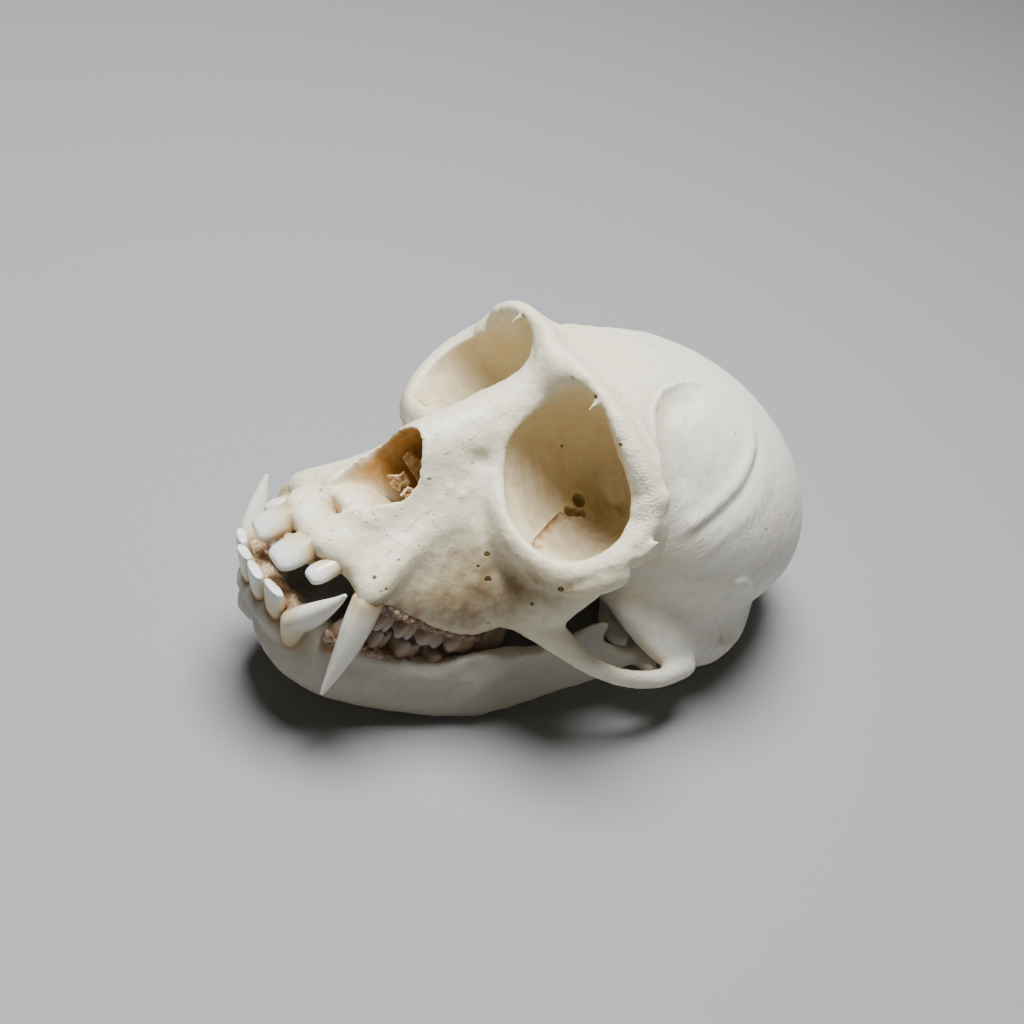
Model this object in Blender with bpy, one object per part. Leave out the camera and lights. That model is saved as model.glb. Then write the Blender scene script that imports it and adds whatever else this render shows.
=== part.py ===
"""Vervet monkey skull: cranium, lower jaw and thirty-two teeth, lying as it rests on a table.

Every size is in millimetres in the skull's own frame, until the last step. There x runs forward
from the ear openings, y runs to the skull's left, and z runs up from the biting plane of the
cheek teeth. The last step turns the skull snout up, because it rests on the two angles of the
lower jaw and on the back of the head, and puts the origin under the middle of its box.
"""

import math

import bmesh
import bpy
import numpy as np
from mathutils import Matrix, Vector

MM = 0.001
SIDES = (1, -1)

# Driving sizes
ORBIT_CENTRE = (37.8, 16.7, 38.0)
ORBIT_LONG = 13.3
ORBIT_SHORT = 10.9
ORBIT_YAW = math.radians(24.5)
ORBIT_TILT = math.radians(-21.2)
ORBIT_ROLL = math.radians(-34.8)
ORBIT_APEX = (14.5, 7.5, 36.0)
SOCKET_WALL = 1.5
SOCKET_GAP = 0.35
JOINT_GAP = 0.5
ROOT_DEPTH = 3.0
TOOTH_SIDES = 8
REST_FLAT = 0.25
FORAMEN_CENTRE = (-26.0, 0.0, 20.0)
FORAMEN_HALF_LENGTH = 7.2
FORAMEN_HALF_WIDTH = 6.4

# Fineness of the finished solids
CLAY_GRAIN = 0.95
CRANIUM_TRIANGLES = 3800
JAW_TRIANGLES = 1200

# Colours, as red, green and blue, and roughness
CRANIUM_BONE = ((0.80, 0.77, 0.69), 0.48)
JAW_BONE = ((0.74, 0.71, 0.65), 0.52)
INCISOR_ENAMEL = ((0.84, 0.84, 0.82), 0.25)
CANINE_ENAMEL = ((0.83, 0.80, 0.72), 0.28)
CHEEK_TOOTH_ENAMEL = ((0.74, 0.70, 0.60), 0.32)

# Braincase sections from back to front: x, top, bottom, half width, height of the widest point
BRAINCASE = (
    (-39.3, 37.0, 33.4, 2.5, 35.2),
    (-38.4, 40.5, 30.6, 7.0, 35.3),
    (-36.2, 45.0, 27.0, 11.8, 35.6),
    (-32.0, 49.4, 23.2, 15.8, 36.2),
    (-26.0, 53.8, 19.4, 20.4, 36.8),
    (-18.0, 58.0, 16.4, 25.0, 37.3),
    (-9.0, 61.0, 15.2, 28.8, 37.7),
    (0.0, 62.1, 15.5, 30.4, 37.7),
    (9.0, 61.6, 17.0, 29.2, 38.0),
    (16.0, 60.4, 19.0, 26.1, 39.0),
    (22.0, 59.4, 22.0, 22.2, 41.0),
    (28.0, 57.4, 26.0, 19.6, 43.5),
    (34.0, 54.6, 33.0, 17.0, 46.0),
    (39.0, 52.7, 42.0, 11.0, 47.5),
    (41.5, 51.0, 46.0, 6.0, 48.0),
)

# The hollow of the braincase, in the same terms, kept clear of the eye sockets
BRAIN = (
    (-33.5, 43.5, 28.5, 8.0, 36.0),
    (-25.0, 50.6, 25.0, 17.6, 37.0),
    (-12.0, 57.2, 21.0, 24.8, 37.5),
    (0.0, 59.3, 21.5, 27.6, 37.7),
    (9.5, 58.6, 25.0, 26.0, 39.0),
    (14.0, 57.8, 42.0, 22.0, 48.0),
    (20.0, 56.4, 49.0, 14.0, 52.5),
)

# Face sections from back to front: x, then y and z of points from the bridge down to the palate
FACE = (
    (18.0, (0, 26), (6, 25), (9, 21), (11, 16), (12, 11), (6, 9), (0, 9)),
    (25.0, (0, 36), (6, 33), (10, 26), (14, 18), (16, 9), (8, 6.5), (0, 6.5)),
    (32.0, (0, 47), (5, 44), (9, 33), (17.5, 22), (18.6, 8), (9, 5.5), (0, 5.5)),
    (38.0, (0, 49.5), (4.6, 45), (9, 33), (18.2, 22.6), (18.6, 7), (9, 5), (0, 5)),
    (42.0, (0, 49), (4.4, 43), (9.6, 31), (16.6, 21.6), (17.8, 7), (9, 5), (0, 5)),
    (46.0, (0, 42), (4.3, 38.5), (9.2, 28.4), (14.2, 20), (16.9, 7), (9, 5), (0, 5)),
    (51.0, (0, 36.4), (4.3, 33.0), (7.8, 24.4), (11.6, 16.3), (16.0, 7), (8, 5), (0, 5)),
    (55.5, (0, 31.8), (4.2, 28.2), (7.3, 19.8), (10.8, 13.2), (15.2, 7), (8, 5), (0, 5)),
    (59.0, (0, 27.0), (3.8, 21.8), (6.9, 15.4), (10.0, 11.3), (13.1, 7.5), (7, 4.8), (0, 4.8)),
    (62.0, (0, 10.6), (4.2, 12.0), (6.9, 12.0), (9.2, 10), (10.8, 7.5), (6, 4.8), (0, 4.8)),
    (65.0, (0, 9.0), (4.0, 9.6), (6.5, 9.4), (8.1, 8.5), (8.3, 7.0), (4, 5.2), (0, 5.2)),
    (66.3, (0, 9.6), (3.0, 9.5), (4.6, 9.0), (5.4, 8.2), (5.4, 7.2), (3, 6.2), (0, 6.2)),
)

# The sheet at the root of the arch, from front to back: x, y and z of its outer edge
ARCH_ROOT = (
    (14.0, 24.3, 21.8),
    (9.5, 27.3, 20.2),
    (5.5, 30.0, 18.4),
    (1.0, 32.2, 17.4),
    (-4.0, 31.8, 18.2),
    (-9.0, 29.8, 19.6),
    (-15.0, 27.8, 20.4),
    (-22.0, 24.8, 21.6),
    (-28.0, 20.5, 23.4),
)


def clear_scene():
    for thing in list(bpy.data.objects):
        bpy.data.objects.remove(thing, do_unlink=True)


def object_from(name, mesh_builder):
    """A linked mesh object made from a bmesh, which is freed."""
    mesh = bpy.data.meshes.new(name)
    mesh_builder.to_mesh(mesh)
    mesh_builder.free()
    made = bpy.data.objects.new(name, mesh)
    bpy.context.scene.collection.objects.link(made)
    return made


def lump(name, centre, radii, turn=(0.0, 0.0, 0.0)):
    """An ellipsoid; turn is in degrees about x, y and z."""
    builder = bmesh.new()
    bmesh.ops.create_uvsphere(builder, u_segments=24, v_segments=14, radius=1.0)
    spin = Matrix.Rotation(math.radians(turn[2]), 4, "Z")
    spin = spin @ Matrix.Rotation(math.radians(turn[1]), 4, "Y")
    spin = spin @ Matrix.Rotation(math.radians(turn[0]), 4, "X")
    place = Matrix.Translation(centre) @ spin @ Matrix.Diagonal((*radii, 1.0))
    bmesh.ops.transform(builder, matrix=place, verts=builder.verts)
    return object_from(name, builder)


def skin(name, rings, closed=False):
    """A solid through a row of rings with equal counts of points."""
    builder = bmesh.new()
    loops = [[builder.verts.new(point) for point in ring] for ring in rings]
    count = len(loops[0])
    pairs = list(zip(loops, loops[1:]))
    if closed:
        pairs.append((loops[-1], loops[0]))
    for low, high in pairs:
        for index in range(count):
            after = (index + 1) % count
            builder.faces.new((low[index], low[after], high[after], high[index]))
    if not closed:
        builder.faces.new(loops[0][::-1])
        builder.faces.new(loops[-1])
    bmesh.ops.recalc_face_normals(builder, faces=builder.faces)
    return object_from(name, builder)


def smooth_path(knots, steps, closed=False):
    """Points on a smooth curve through the knots, which may hold widths after x, y and z."""
    knots = [np.array(knot, float) for knot in knots]
    if closed:
        padded = [knots[-1], *knots, knots[0], knots[1]]
        spans = len(knots)
    else:
        padded = [2 * knots[0] - knots[1], *knots, 2 * knots[-1] - knots[-2]]
        spans = len(knots) - 1
    path = []
    for span in range(spans):
        before, start, end, after = padded[span : span + 4]
        for step in range(steps):
            t = step / steps
            bend = 2 * before - 5 * start + 4 * end - after
            curl = 3 * start - before - 3 * end + after
            path.append(start + 0.5 * ((end - before) * t + bend * t**2 + curl * t**3))
    if not closed:
        path.append(knots[-1])
    return path


def strand(name, knots, up=(0.0, 0.0, 1.0), closed=False, steps=5, ring=14):
    """A bar of oval section along a smooth path: a knot is x, y, z, half height, half width."""
    path = smooth_path(knots, steps, closed)
    count = len(path)
    rings = []
    for index, knot in enumerate(path):
        ahead = path[(index + 1) % count] if closed else path[min(index + 1, count - 1)]
        behind = path[index - 1] if closed else path[max(index - 1, 0)]
        along = Vector(ahead[:3] - behind[:3]).normalized()
        side = along.cross(Vector(up)).normalized()
        high = side.cross(along)
        rings.append(oval(Vector(knot[:3]), high * knot[3], side * knot[4], ring))
        if not closed and index in (0, count - 1):
            cap = []
            outward = -along if index == 0 else along
            for turn in (math.radians(35), math.radians(65)):
                middle = Vector(knot[:3]) + outward * (min(knot[3:5]) * math.sin(turn))
                shrink = math.cos(turn)
                cap.append(oval(middle, high * knot[3] * shrink, side * knot[4] * shrink, ring))
            rings = cap[::-1] + rings if index == 0 else rings + cap
    return skin(name, rings, closed)


def oval(centre, high, side, count):
    """Points round an oval whose half axes are two vectors."""
    turns = [2 * math.pi * index / count for index in range(count)]
    return [centre + side * math.cos(turn) + high * math.sin(turn) for turn in turns]


def power(value, exponent):
    return math.copysign(abs(value) ** exponent, value)


def mirrored(thing):
    """The same thing on the other side of the head."""
    builder = bmesh.new()
    builder.from_mesh(thing.data)
    flip = Matrix.Diagonal((1.0, -1.0, 1.0, 1.0))
    bmesh.ops.transform(builder, matrix=flip, verts=builder.verts)
    bmesh.ops.reverse_faces(builder, faces=builder.faces)
    return object_from(thing.name + "_other", builder)


def swollen(thing, margin):
    """A copy of a thing whose skin stands off by the margin."""
    builder = bmesh.new()
    builder.from_mesh(thing.data)
    builder.normal_update()
    for vertex in builder.verts:
        vertex.co += vertex.normal * margin
    return object_from(thing.name + "_swollen", builder)


def both(thing):
    return [thing, mirrored(thing)]


def join(name, things):
    """One object that holds all the meshes; the things themselves are removed."""
    builder = bmesh.new()
    for thing in things:
        builder.from_mesh(thing.data)
    for thing in things:
        remove(thing)
    return object_from(name, builder)


def remove(thing):
    mesh = thing.data
    bpy.data.objects.remove(thing, do_unlink=True)
    bpy.data.meshes.remove(mesh)


def bake(thing):
    """Replaces the mesh by what its modifiers make of it."""
    graph = bpy.context.evaluated_depsgraph_get()
    made = bpy.data.meshes.new_from_object(thing.evaluated_get(graph))
    old = thing.data
    thing.modifiers.clear()
    thing.data = made
    bpy.data.meshes.remove(old)
    return thing


def remesh(thing, grain):
    """Melts overlapping lumps into one skin."""
    modifier = thing.modifiers.new("clay", "REMESH")
    modifier.mode = "VOXEL"
    modifier.voxel_size = grain
    modifier.use_smooth_shade = True
    return bake(thing)


def soften(thing, repeat, factor=0.5):
    modifier = thing.modifiers.new("soften", "SMOOTH")
    modifier.factor = factor
    modifier.iterations = repeat
    return bake(thing)


def cut(thing, cutters, operation="DIFFERENCE"):
    """Takes the cutters out of a solid, one after another, and removes them."""
    for cutter in cutters:
        modifier = thing.modifiers.new("cut", "BOOLEAN")
        modifier.operation = operation
        modifier.object = cutter
        modifier.solver = "EXACT"
        bake(thing)
        remove(cutter)
    return thing


def thin_out(thing, triangles):
    """Fewer triangles, kept where the shape bends."""
    bm = bmesh.new()
    bm.from_mesh(thing.data)
    bmesh.ops.triangulate(bm, faces=bm.faces)
    bm.to_mesh(thing.data)
    bm.free()
    modifier = thing.modifiers.new("fewer", "DECIMATE")
    modifier.ratio = triangles / len(thing.data.polygons)
    return bake(thing)


# Cranium


def braincase():
    rings = []
    for x, top, bottom, half, widest in [tuple(p) for p in smooth_path(BRAINCASE, 3)]:
        ring = []
        for index in range(36):
            turn = 2 * math.pi * index / 36
            y = half * math.cos(turn)
            rise = math.sin(turn)
            z = widest + rise * ((top - widest) if rise > 0 else (widest - bottom))
            ring.append((x, y, z))
        rings.append(ring)
    return skin("braincase", rings)


def face():
    rings = []
    flat = [[station[0], *(number for pair in station[1:] for number in pair)] for station in FACE]
    for station in smooth_path(flat, 3):
        x = station[0]
        half = [(station[index], station[index + 1]) for index in range(1, len(station), 2)]
        outline = smooth_path(half, 4)
        left = [(x, y, z) for y, z in outline]
        right = [(x, -y, z) for y, z in outline[-2:0:-1]]
        rings.append(left + right)
    return skin("face", rings)


def arch_root():
    """The sheet that leaves the side of the braincase for the rear end of the cheek arch."""
    rings = []
    for x, y, z in [tuple(p) for p in smooth_path(ARCH_ROOT, 3)]:
        rings.append(
            [
                (x, 14.0, z - 1.0),
                (x, y - 2.5, z - 1.6),
                (x, y - 0.4, z - 1.0),
                (x, y, z + 0.4),
                (x, y - 1.2, z + 2.0),
                (x, y - 3.2, z + 5.5),
                (x, y - 4.6, z + 11.0),
                (x, 14.0, z + 16.0),
            ]
        )
    return skin("arch_root", rings)


def orbit_ring(scale, shift, count=32, long=ORBIT_LONG, short=ORBIT_SHORT, centre=ORBIT_CENTRE):
    """Points on the left orbit's rim, scaled, and moved along the orbit's axis."""
    outward = Vector((math.cos(ORBIT_YAW), math.sin(ORBIT_YAW), 0.0))
    across = Vector((-math.sin(ORBIT_YAW), math.cos(ORBIT_YAW), 0.0))
    upward = Vector((0.0, 0.0, 1.0)) * math.cos(ORBIT_TILT) + outward * math.sin(ORBIT_TILT)
    axis = across.cross(upward)
    first = across * math.cos(ORBIT_ROLL) + upward * math.sin(ORBIT_ROLL)
    second = upward * math.cos(ORBIT_ROLL) - across * math.sin(ORBIT_ROLL)
    middle = Vector(centre) + axis * shift
    ring = []
    for index in range(count):
        turn = 2 * math.pi * index / count
        reach = first * (long * scale * math.cos(turn)) + second * (short * scale * math.sin(turn))
        ring.append(middle + reach)
    return ring


def orbit_cup(name, margin, mouth):
    """The eye socket as a solid: margin makes it wider all over, mouth carries it past the rim."""
    outer = orbit_ring(1.0, 0.0)
    apex = Vector(ORBIT_APEX)
    middle = Vector(ORBIT_CENTRE)
    rings = []
    if mouth:
        rings.append([point + (point - middle) * 0.12 for point in orbit_ring(1.0, mouth)])
    for share, width in ((0.0, 1.0), (0.12, 1.03), (0.3, 1.0), (0.5, 0.87), (0.7, 0.66), (0.88, 0.4), (1.0, 0.2)):
        hub = middle.lerp(apex, share)
        ring = []
        for point in outer:
            reach = (point - middle) * width
            ring.append(hub + reach + reach.normalized() * margin)
        rings.append(ring)
    return skin(name, rings)


def orbit_rim():
    """The raised rim: thick on the outer side, thin towards the nose."""
    middle = Vector(ORBIT_CENTRE)
    axis = (middle - Vector(ORBIT_APEX)).normalized()
    knots = []
    for point in orbit_ring(1.0, 0.0, 24):
        sideways = (point.y - middle.y) / ORBIT_LONG
        upward = (point.z - middle.z) / ORBIT_LONG
        wide = 1.8 + 0.6 * max(sideways, 0.0) + 0.5 * max(upward, 0.0)
        away = (point - middle).normalized()
        place = point + away * (wide * 0.95) - axis * (wide * (0.45 + 0.4 * max(sideways, 0.0)))
        knots.append((*place, wide, wide))
    return strand("rim", knots, up=(1.0, 0.35, -0.3), closed=True, steps=2)


def face_lumps():
    lumps = []
    brow = (
        (23.5, 28.0, 36.5, 2.4, 2.4),
        (27.5, 26.8, 42.3, 2.7, 2.7),
        (32.8, 22.3, 47.0, 2.8, 2.8),
        (37.3, 15.5, 50.3, 2.8, 2.8),
        (41.0, 8.0, 51.6, 2.8, 2.8),
        (42.6, 0.0, 50.3, 2.8, 2.8),
    )
    lumps += both(strand("brow", brow))
    lumps += both(orbit_rim())
    lumps += both(orbit_cup("socket", SOCKET_WALL, 0.0))
    zygoma = (
        (38.0, 17.0, 13.0, 5.5, 2.0),
        (33.5, 20.5, 15.5, 6.5, 2.2),
        (29.0, 24.3, 18.5, 6.2, 2.2),
        (26.0, 26.5, 24.0, 4.5, 2.2),
        (25.0, 27.6, 30.0, 3.2, 2.0),
        (24.6, 28.0, 37.0, 2.6, 2.2),
    )
    lumps += both(strand("zygoma", zygoma, up=(0.6, 0.0, 1.0)))
    cheek = (
        (41.5, 12.0, 25.5, 2.6, 2.2),
        (37.5, 17.8, 23.8, 3.4, 2.2),
        (33.0, 21.8, 23.4, 3.8, 2.2),
        (28.8, 25.0, 26.0, 3.6, 2.0),
    )
    lumps += both(strand("cheek", cheek))
    arch = (
        (30.0, 23.5, 15.5, 4.2, 1.7),
        (25.0, 26.6, 14.6, 3.2, 1.6),
        (19.5, 29.2, 13.4, 2.3, 1.6),
        (14.0, 31.1, 13.2, 2.1, 1.5),
        (8.0, 32.5, 14.2, 2.1, 1.5),
        (2.0, 32.6, 16.0, 2.2, 1.6),
        (-4.0, 31.0, 18.2, 2.3, 1.8),
    )
    lumps += both(strand("arch", arch))
    canine_ridge = (
        (57.0, 14.8, 6.8, 2.8, 2.8),
        (54.5, 13.0, 12.2, 2.6, 2.6),
        (51.0, 10.4, 19.0, 2.2, 2.2),
        (47.5, 8.2, 27.0, 1.6, 1.6),
    )
    lumps += both(strand("canine_ridge", canine_ridge, up=(1.0, 0.0, 0.0)))
    return lumps


def base_lumps():
    lumps = []
    nuchal = (
        (-14.0, 27.0, 20.5, 2.0, 2.0),
        (-22.0, 23.5, 22.0, 1.9, 1.9),
        (-29.0, 18.0, 24.5, 1.8, 1.8),
        (-34.5, 11.0, 28.0, 1.7, 1.7),
        (-37.4, 4.0, 31.0, 1.8, 1.8),
        (-37.8, 0.0, 31.5, 1.8, 1.8),
    )
    lumps += both(strand("nuchal_ridge", nuchal))
    lumps += both(lump("mastoid", (-13.5, 24.2, 19.6), (6.2, 4.4, 4.6), (0, 0, 12)))
    lumps += both(lump("bulla", (-5.0, 14.0, 15.0), (9.5, 6.0, 5.5), (0, 0, 30)))
    lumps += both(arch_root())
    lumps += both(lump("condyle_of_the_neck", (-19.0, 7.0, 15.0), (4.5, 3.0, 2.6), (0, 0, 25)))
    lumps.append(lump("base_bar", (4.0, 0.0, 18.0), (20.0, 8.5, 5.0)))
    wing = (
        (24.0, 8.5, 8.5, 3.5, 0.9),
        (19.0, 8.8, 11.0, 5.0, 0.9),
        (13.0, 9.0, 15.0, 4.5, 0.9),
    )
    lumps += both(strand("pterygoid_wing", wing))
    outer_wing = (
        (24.0, 11.0, 9.5, 3.5, 0.9),
        (18.0, 13.0, 12.5, 5.0, 0.9),
        (12.0, 14.5, 17.0, 4.5, 0.9),
    )
    lumps += both(strand("outer_wing", outer_wing))
    return lumps


def palate_cutter():
    """The vault of the palate, between the tooth rows: x, half width and height of its roof."""
    vault = (
        (16.0, 9.0, 8.0),
        (24.0, 10.8, 9.5),
        (34.0, 11.6, 10.5),
        (46.0, 11.4, 10.0),
        (54.0, 9.8, 9.0),
        (60.0, 6.8, 7.5),
        (62.5, 4.0, 6.2),
    )
    rings = []
    for x, half, roof in vault:
        ring = []
        for index in range(20):
            turn = 2 * math.pi * index / 20
            rise = math.sin(turn)
            z = 2.0 + rise * ((roof - 2.0) if rise > 0 else 8.0)
            ring.append((x, half * power(math.cos(turn), 0.7), z))
        rings.append(ring)
    return skin("palate_cutter", rings)


def nose_cutter():
    """The nasal passage, from the pear-shaped opening to the back of the palate."""
    rings = []
    passage = (
        (72.0, 0.0, 22.0, 7.0, 12.0),
        (60.0, 0.0, 20.5, 6.6, 9.8),
        (54.0, 0.0, 21.0, 6.6, 9.2),
        (46.0, 0.0, 22.5, 6.2, 9.8),
        (38.0, 0.0, 22.5, 6.0, 9.5),
        (28.0, 0.0, 18.5, 6.0, 7.0),
        (20.0, 0.0, 15.0, 6.2, 5.0),
        (10.0, 0.0, 8.0, 6.4, 5.0),
    )
    for x, y, z, half, rise in [tuple(p) for p in smooth_path(passage, 3)]:
        ring = []
        for index in range(20):
            turn = 2 * math.pi * index / 20
            narrow = 1.0 - 0.25 * math.sin(turn) if turn < math.pi else 1.0 + 0.45 * math.sin(turn)
            ring.append((x, y + half * narrow * math.cos(turn), z + rise * math.sin(turn)))
        rings.append(ring)
    return skin("nose_cutter", rings)


def brain_cutter():
    """The hollow of the braincase."""
    rings = []
    for x, top, bottom, half, widest in BRAIN:
        ring = []
        for index in range(16):
            turn = 2 * math.pi * index / 16
            rise = math.sin(turn)
            height = (top - widest) if rise > 0 else (widest - bottom)
            ring.append((x, half * math.cos(turn), widest + rise * height))
        rings.append(ring)
    return skin("brain_cutter", rings)


def foramen_cutter():
    """The great opening under the braincase, for the spinal cord."""
    axis = Vector((-0.55, 0.0, -0.83)).normalized()
    side = Vector((0.0, 1.0, 0.0))
    high = side.cross(axis)
    rings = []
    for shift in (-7.0, 9.0):
        middle = Vector(FORAMEN_CENTRE) + axis * shift
        rings.append(oval(middle, high * FORAMEN_HALF_LENGTH, side * FORAMEN_HALF_WIDTH, 16))
    return skin("foramen_cutter", rings)


def make_cranium():
    soft = join("cranium", [braincase(), face(), *base_lumps()])
    remesh(soft, 1.6)
    soften(soft, 6)
    bone = join("cranium", [soft, *face_lumps()])
    remesh(bone, CLAY_GRAIN)
    soften(bone, 3)
    cut(bone, [palate_cutter(), nose_cutter(), *both(orbit_cup("orbit_cutter", 0.0, 9.0))])
    remesh(bone, CLAY_GRAIN)
    soften(bone, 1)
    thin_out(bone, CRANIUM_TRIANGLES)
    return cut(bone, [brain_cutter(), foramen_cutter()])


# Lower jaw


def make_jaw():
    body = (
        (58.8, 2.0, -9.4, 5.6, 3.0),
        (57.4, 6.0, -10.0, 6.2, 3.2),
        (53.5, 9.4, -10.7, 6.7, 3.2),
        (46.0, 12.0, -10.7, 6.8, 3.1),
        (38.0, 14.0, -9.6, 6.4, 3.1),
        (30.0, 16.2, -7.8, 5.9, 3.0),
        (22.0, 18.8, -4.9, 5.4, 2.2),
    )
    lumps = both(strand("body", body, steps=6, ring=16))
    chin = (
        (61.2, 0.0, -7.0, 3.0, 5.8),
        (56.4, 0.0, -11.0, 2.9, 5.6),
        (51.8, 0.0, -14.0, 2.5, 5.2),
        (48.2, 0.0, -15.8, 1.9, 4.4),
    )
    lumps.append(strand("chin", chin, up=(0.6, 0.0, 1.0)))
    outline = (
        (27.5, 0.0),
        (23.0, 6.0),
        (20.0, 12.0),
        (17.5, 17.5),
        (15.2, 19.5),
        (13.6, 18.0),
        (13.0, 15.4),
        (8.0, 14.3),
        (2.5, 15.2),
        (0.0, 13.5),
        (1.8, 9.0),
        (4.8, 4.5),
        (9.4, 0.2),
        (14.8, -4.2),
        (19.8, -7.5),
        (25.0, -9.0),
    )
    lumps += both(ramus_plate(outline))
    lumps += both(lump("jaw_condyle", (1.6, 25.6, 15.0), (2.3, 5.0, 1.9), (0, 0, -8)))
    jaw = join("lower_jaw", lumps)
    remesh(jaw, 0.8)
    soften(jaw, 4)
    thin_out(jaw, JAW_TRIANGLES)
    return jaw


def ramus_plate(outline):
    """The upright plate at the back of the jaw, leaning outwards as it rises."""
    path = smooth_path([(x, 0.0, z) for x, z in outline], 3, closed=True)
    inner, outer = [], []
    for x, _, z in path:
        y = 20.2 + 0.15 * (z + 8.0) + 0.08 * (18.0 - x)
        inner.append((x, y - 1.2, z))
        outer.append((x, y + 1.2, z))
    return skin("ramus", [inner, outer])


# Teeth, left side: the right side is its mirror image


def blade(name, root, neck, tip, across, sizes):
    """A tooth with one root: sizes are share of the way from neck to tip, half width, half depth."""
    root, neck, tip = Vector(root), Vector(neck), Vector(tip)
    rise = (tip - neck).normalized()
    depth = rise.cross(Vector(across)).normalized()
    width = depth.cross(rise)
    first_wide, first_deep = sizes[0][1:3]
    rings = [oval(root, depth * first_deep * 0.6, width * first_wide * 0.6, TOOTH_SIDES)]
    for share, wide, deep, *bow in sizes:
        middle = neck.lerp(tip, share) + (depth * bow[0] if bow else Vector())
        rings.append(oval(middle, depth * deep, width * wide, TOOTH_SIDES))
    return skin(name, rings)


def grinder(name, middle, length, breadth, neck, bite, turn=0.0, cusp=0.8):
    """A cheek tooth: a stub of root, a bulging crown, and cusps round a low middle."""
    x, y = middle
    sense = 1.0 if bite > neck else -1.0
    levels = (
        (neck - sense * ROOT_DEPTH, 0.62),
        (neck, 0.82),
        (neck + (bite - neck) * 0.45, 1.0),
        (bite - sense * cusp, 0.86),
    )
    builder = bmesh.new()
    loops = []
    for z, swell in levels:
        loop = []
        for index in range(8):
            angle = math.pi / 4 * index
            corner = 0.88 if index % 2 else 1.0
            along = length / 2 * swell * corner * math.copysign(1, math.cos(angle))
            along *= 0.0 if index % 4 == 2 else 1.0
            over = breadth / 2 * swell * corner * math.copysign(1, math.sin(angle))
            over *= 0.0 if index % 4 == 0 else 1.0
            at = turned(along, over, turn)
            height = z + (sense * cusp if index % 2 and swell == 0.86 else 0.0)
            loop.append(builder.verts.new((x + at[0], y + at[1], height)))
        loops.append(loop)
    for low, high in zip(loops, loops[1:]):
        for index in range(8):
            after = (index + 1) % 8
            builder.faces.new((low[index], low[after], high[after], high[index]))
    builder.faces.new(loops[0][::-1])
    dip = builder.verts.new((x, y, bite - sense * cusp * 1.3))
    for index in range(8):
        builder.faces.new((loops[-1][index], loops[-1][(index + 1) % 8], dip))
    bmesh.ops.recalc_face_normals(builder, faces=builder.faces)
    return object_from(name, builder)


def turned(x, y, degrees):
    angle = math.radians(degrees)
    return (x * math.cos(angle) - y * math.sin(angle), x * math.sin(angle) + y * math.cos(angle))


def upper_teeth():
    front = (0.0, 1.0, 0.0)
    return [
        blade(
            "upper_incisor_1",
            (59.8, 3.2, 11.0),
            (62.6, 3.5, 8.0),
            (68.6, 4.0, 1.2),
            front,
            ((0.0, 2.3, 2.2), (0.35, 3.0, 2.0), (0.75, 3.3, 1.3), (1.0, 3.0, 0.5)),
        ),
        blade(
            "upper_incisor_2",
            (57.2, 8.0, 9.5),
            (60.4, 8.7, 6.8),
            (65.8, 9.6, 2.2),
            (-0.45, 1.0, 0.0),
            ((0.0, 1.7, 1.8), (0.4, 2.1, 1.7), (0.8, 2.2, 1.1), (1.0, 1.7, 0.5)),
        ),
        blade(
            "upper_canine",
            (55.2, 14.4, 9.5),
            (57.0, 15.3, 5.6),
            (55.3, 17.8, -12.9),
            (1.0, 0.0, 0.0),
            (
                (0.0, 2.9, 2.4),
                (0.25, 2.75, 2.2, -0.3),
                (0.5, 2.2, 1.75, -0.5),
                (0.75, 1.4, 1.15, -0.35),
                (1.0, 0.3, 0.3),
            ),
        ),
        grinder("upper_premolar_3", (51.2, 14.0), 4.5, 5.0, 4.6, 0.3, 8.0, 1.3),
        grinder("upper_premolar_4", (46.3, 14.5), 4.7, 5.4, 4.6, 0.3, 4.0, 1.1),
        grinder("upper_molar_1", (40.4, 14.8), 6.4, 6.0, 4.6, 0.3),
        grinder("upper_molar_2", (33.4, 14.9), 6.9, 6.2, 5.0, 0.4, -2.0),
        grinder("upper_molar_3", (26.6, 14.6), 6.2, 5.6, 5.6, 0.8, -5.0),
    ]


def lower_teeth():
    front = (0.0, 1.0, 0.0)
    return [
        blade(
            "lower_incisor_1",
            (61.0, 1.7, -9.6),
            (64.4, 1.9, -7.4),
            (69.8, 2.3, -1.9),
            front,
            ((0.0, 1.5, 2.0), (0.45, 1.9, 1.9), (0.85, 2.0, 1.2), (1.0, 1.8, 0.5)),
        ),
        blade(
            "lower_incisor_2",
            (59.8, 5.4, -9.8),
            (63.2, 5.9, -7.6),
            (68.2, 6.7, -1.6),
            (-0.3, 1.0, 0.0),
            ((0.0, 1.6, 2.0), (0.45, 2.1, 1.9), (0.85, 2.1, 1.2), (1.0, 1.5, 0.5)),
        ),
        blade(
            "lower_canine",
            (58.0, 8.6, -11.0),
            (60.8, 10.4, -6.4),
            (62.9, 15.9, 5.9),
            (1.0, 0.0, 0.0),
            (
                (0.0, 3.0, 2.2),
                (0.3, 2.6, 2.1, 0.4),
                (0.6, 1.8, 1.5, 0.5),
                (0.85, 0.9, 0.8, 0.3),
                (1.0, 0.3, 0.3),
            ),
        ),
        blade(
            "lower_premolar_3",
            (53.0, 10.4, -8.8),
            (53.6, 11.0, -5.4),
            (52.2, 11.8, 0.0),
            (1.0, 0.4, 0.0),
            ((0.0, 3.2, 1.8), (0.4, 3.0, 1.9), (0.75, 2.0, 1.5), (1.0, 0.7, 0.5)),
        ),
        grinder("lower_premolar_4", (47.6, 12.6), 4.8, 4.2, -4.8, -0.3, 12.0, 1.1),
        grinder("lower_molar_1", (41.8, 13.6), 6.2, 4.8, -4.6, -0.3, 10.0),
        grinder("lower_molar_2", (35.0, 14.9), 6.8, 5.2, -4.2, -0.3, 11.0),
        grinder("lower_molar_3", (27.6, 16.4), 7.4, 5.0, -3.4, -0.2, 12.0),
    ]


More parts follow.
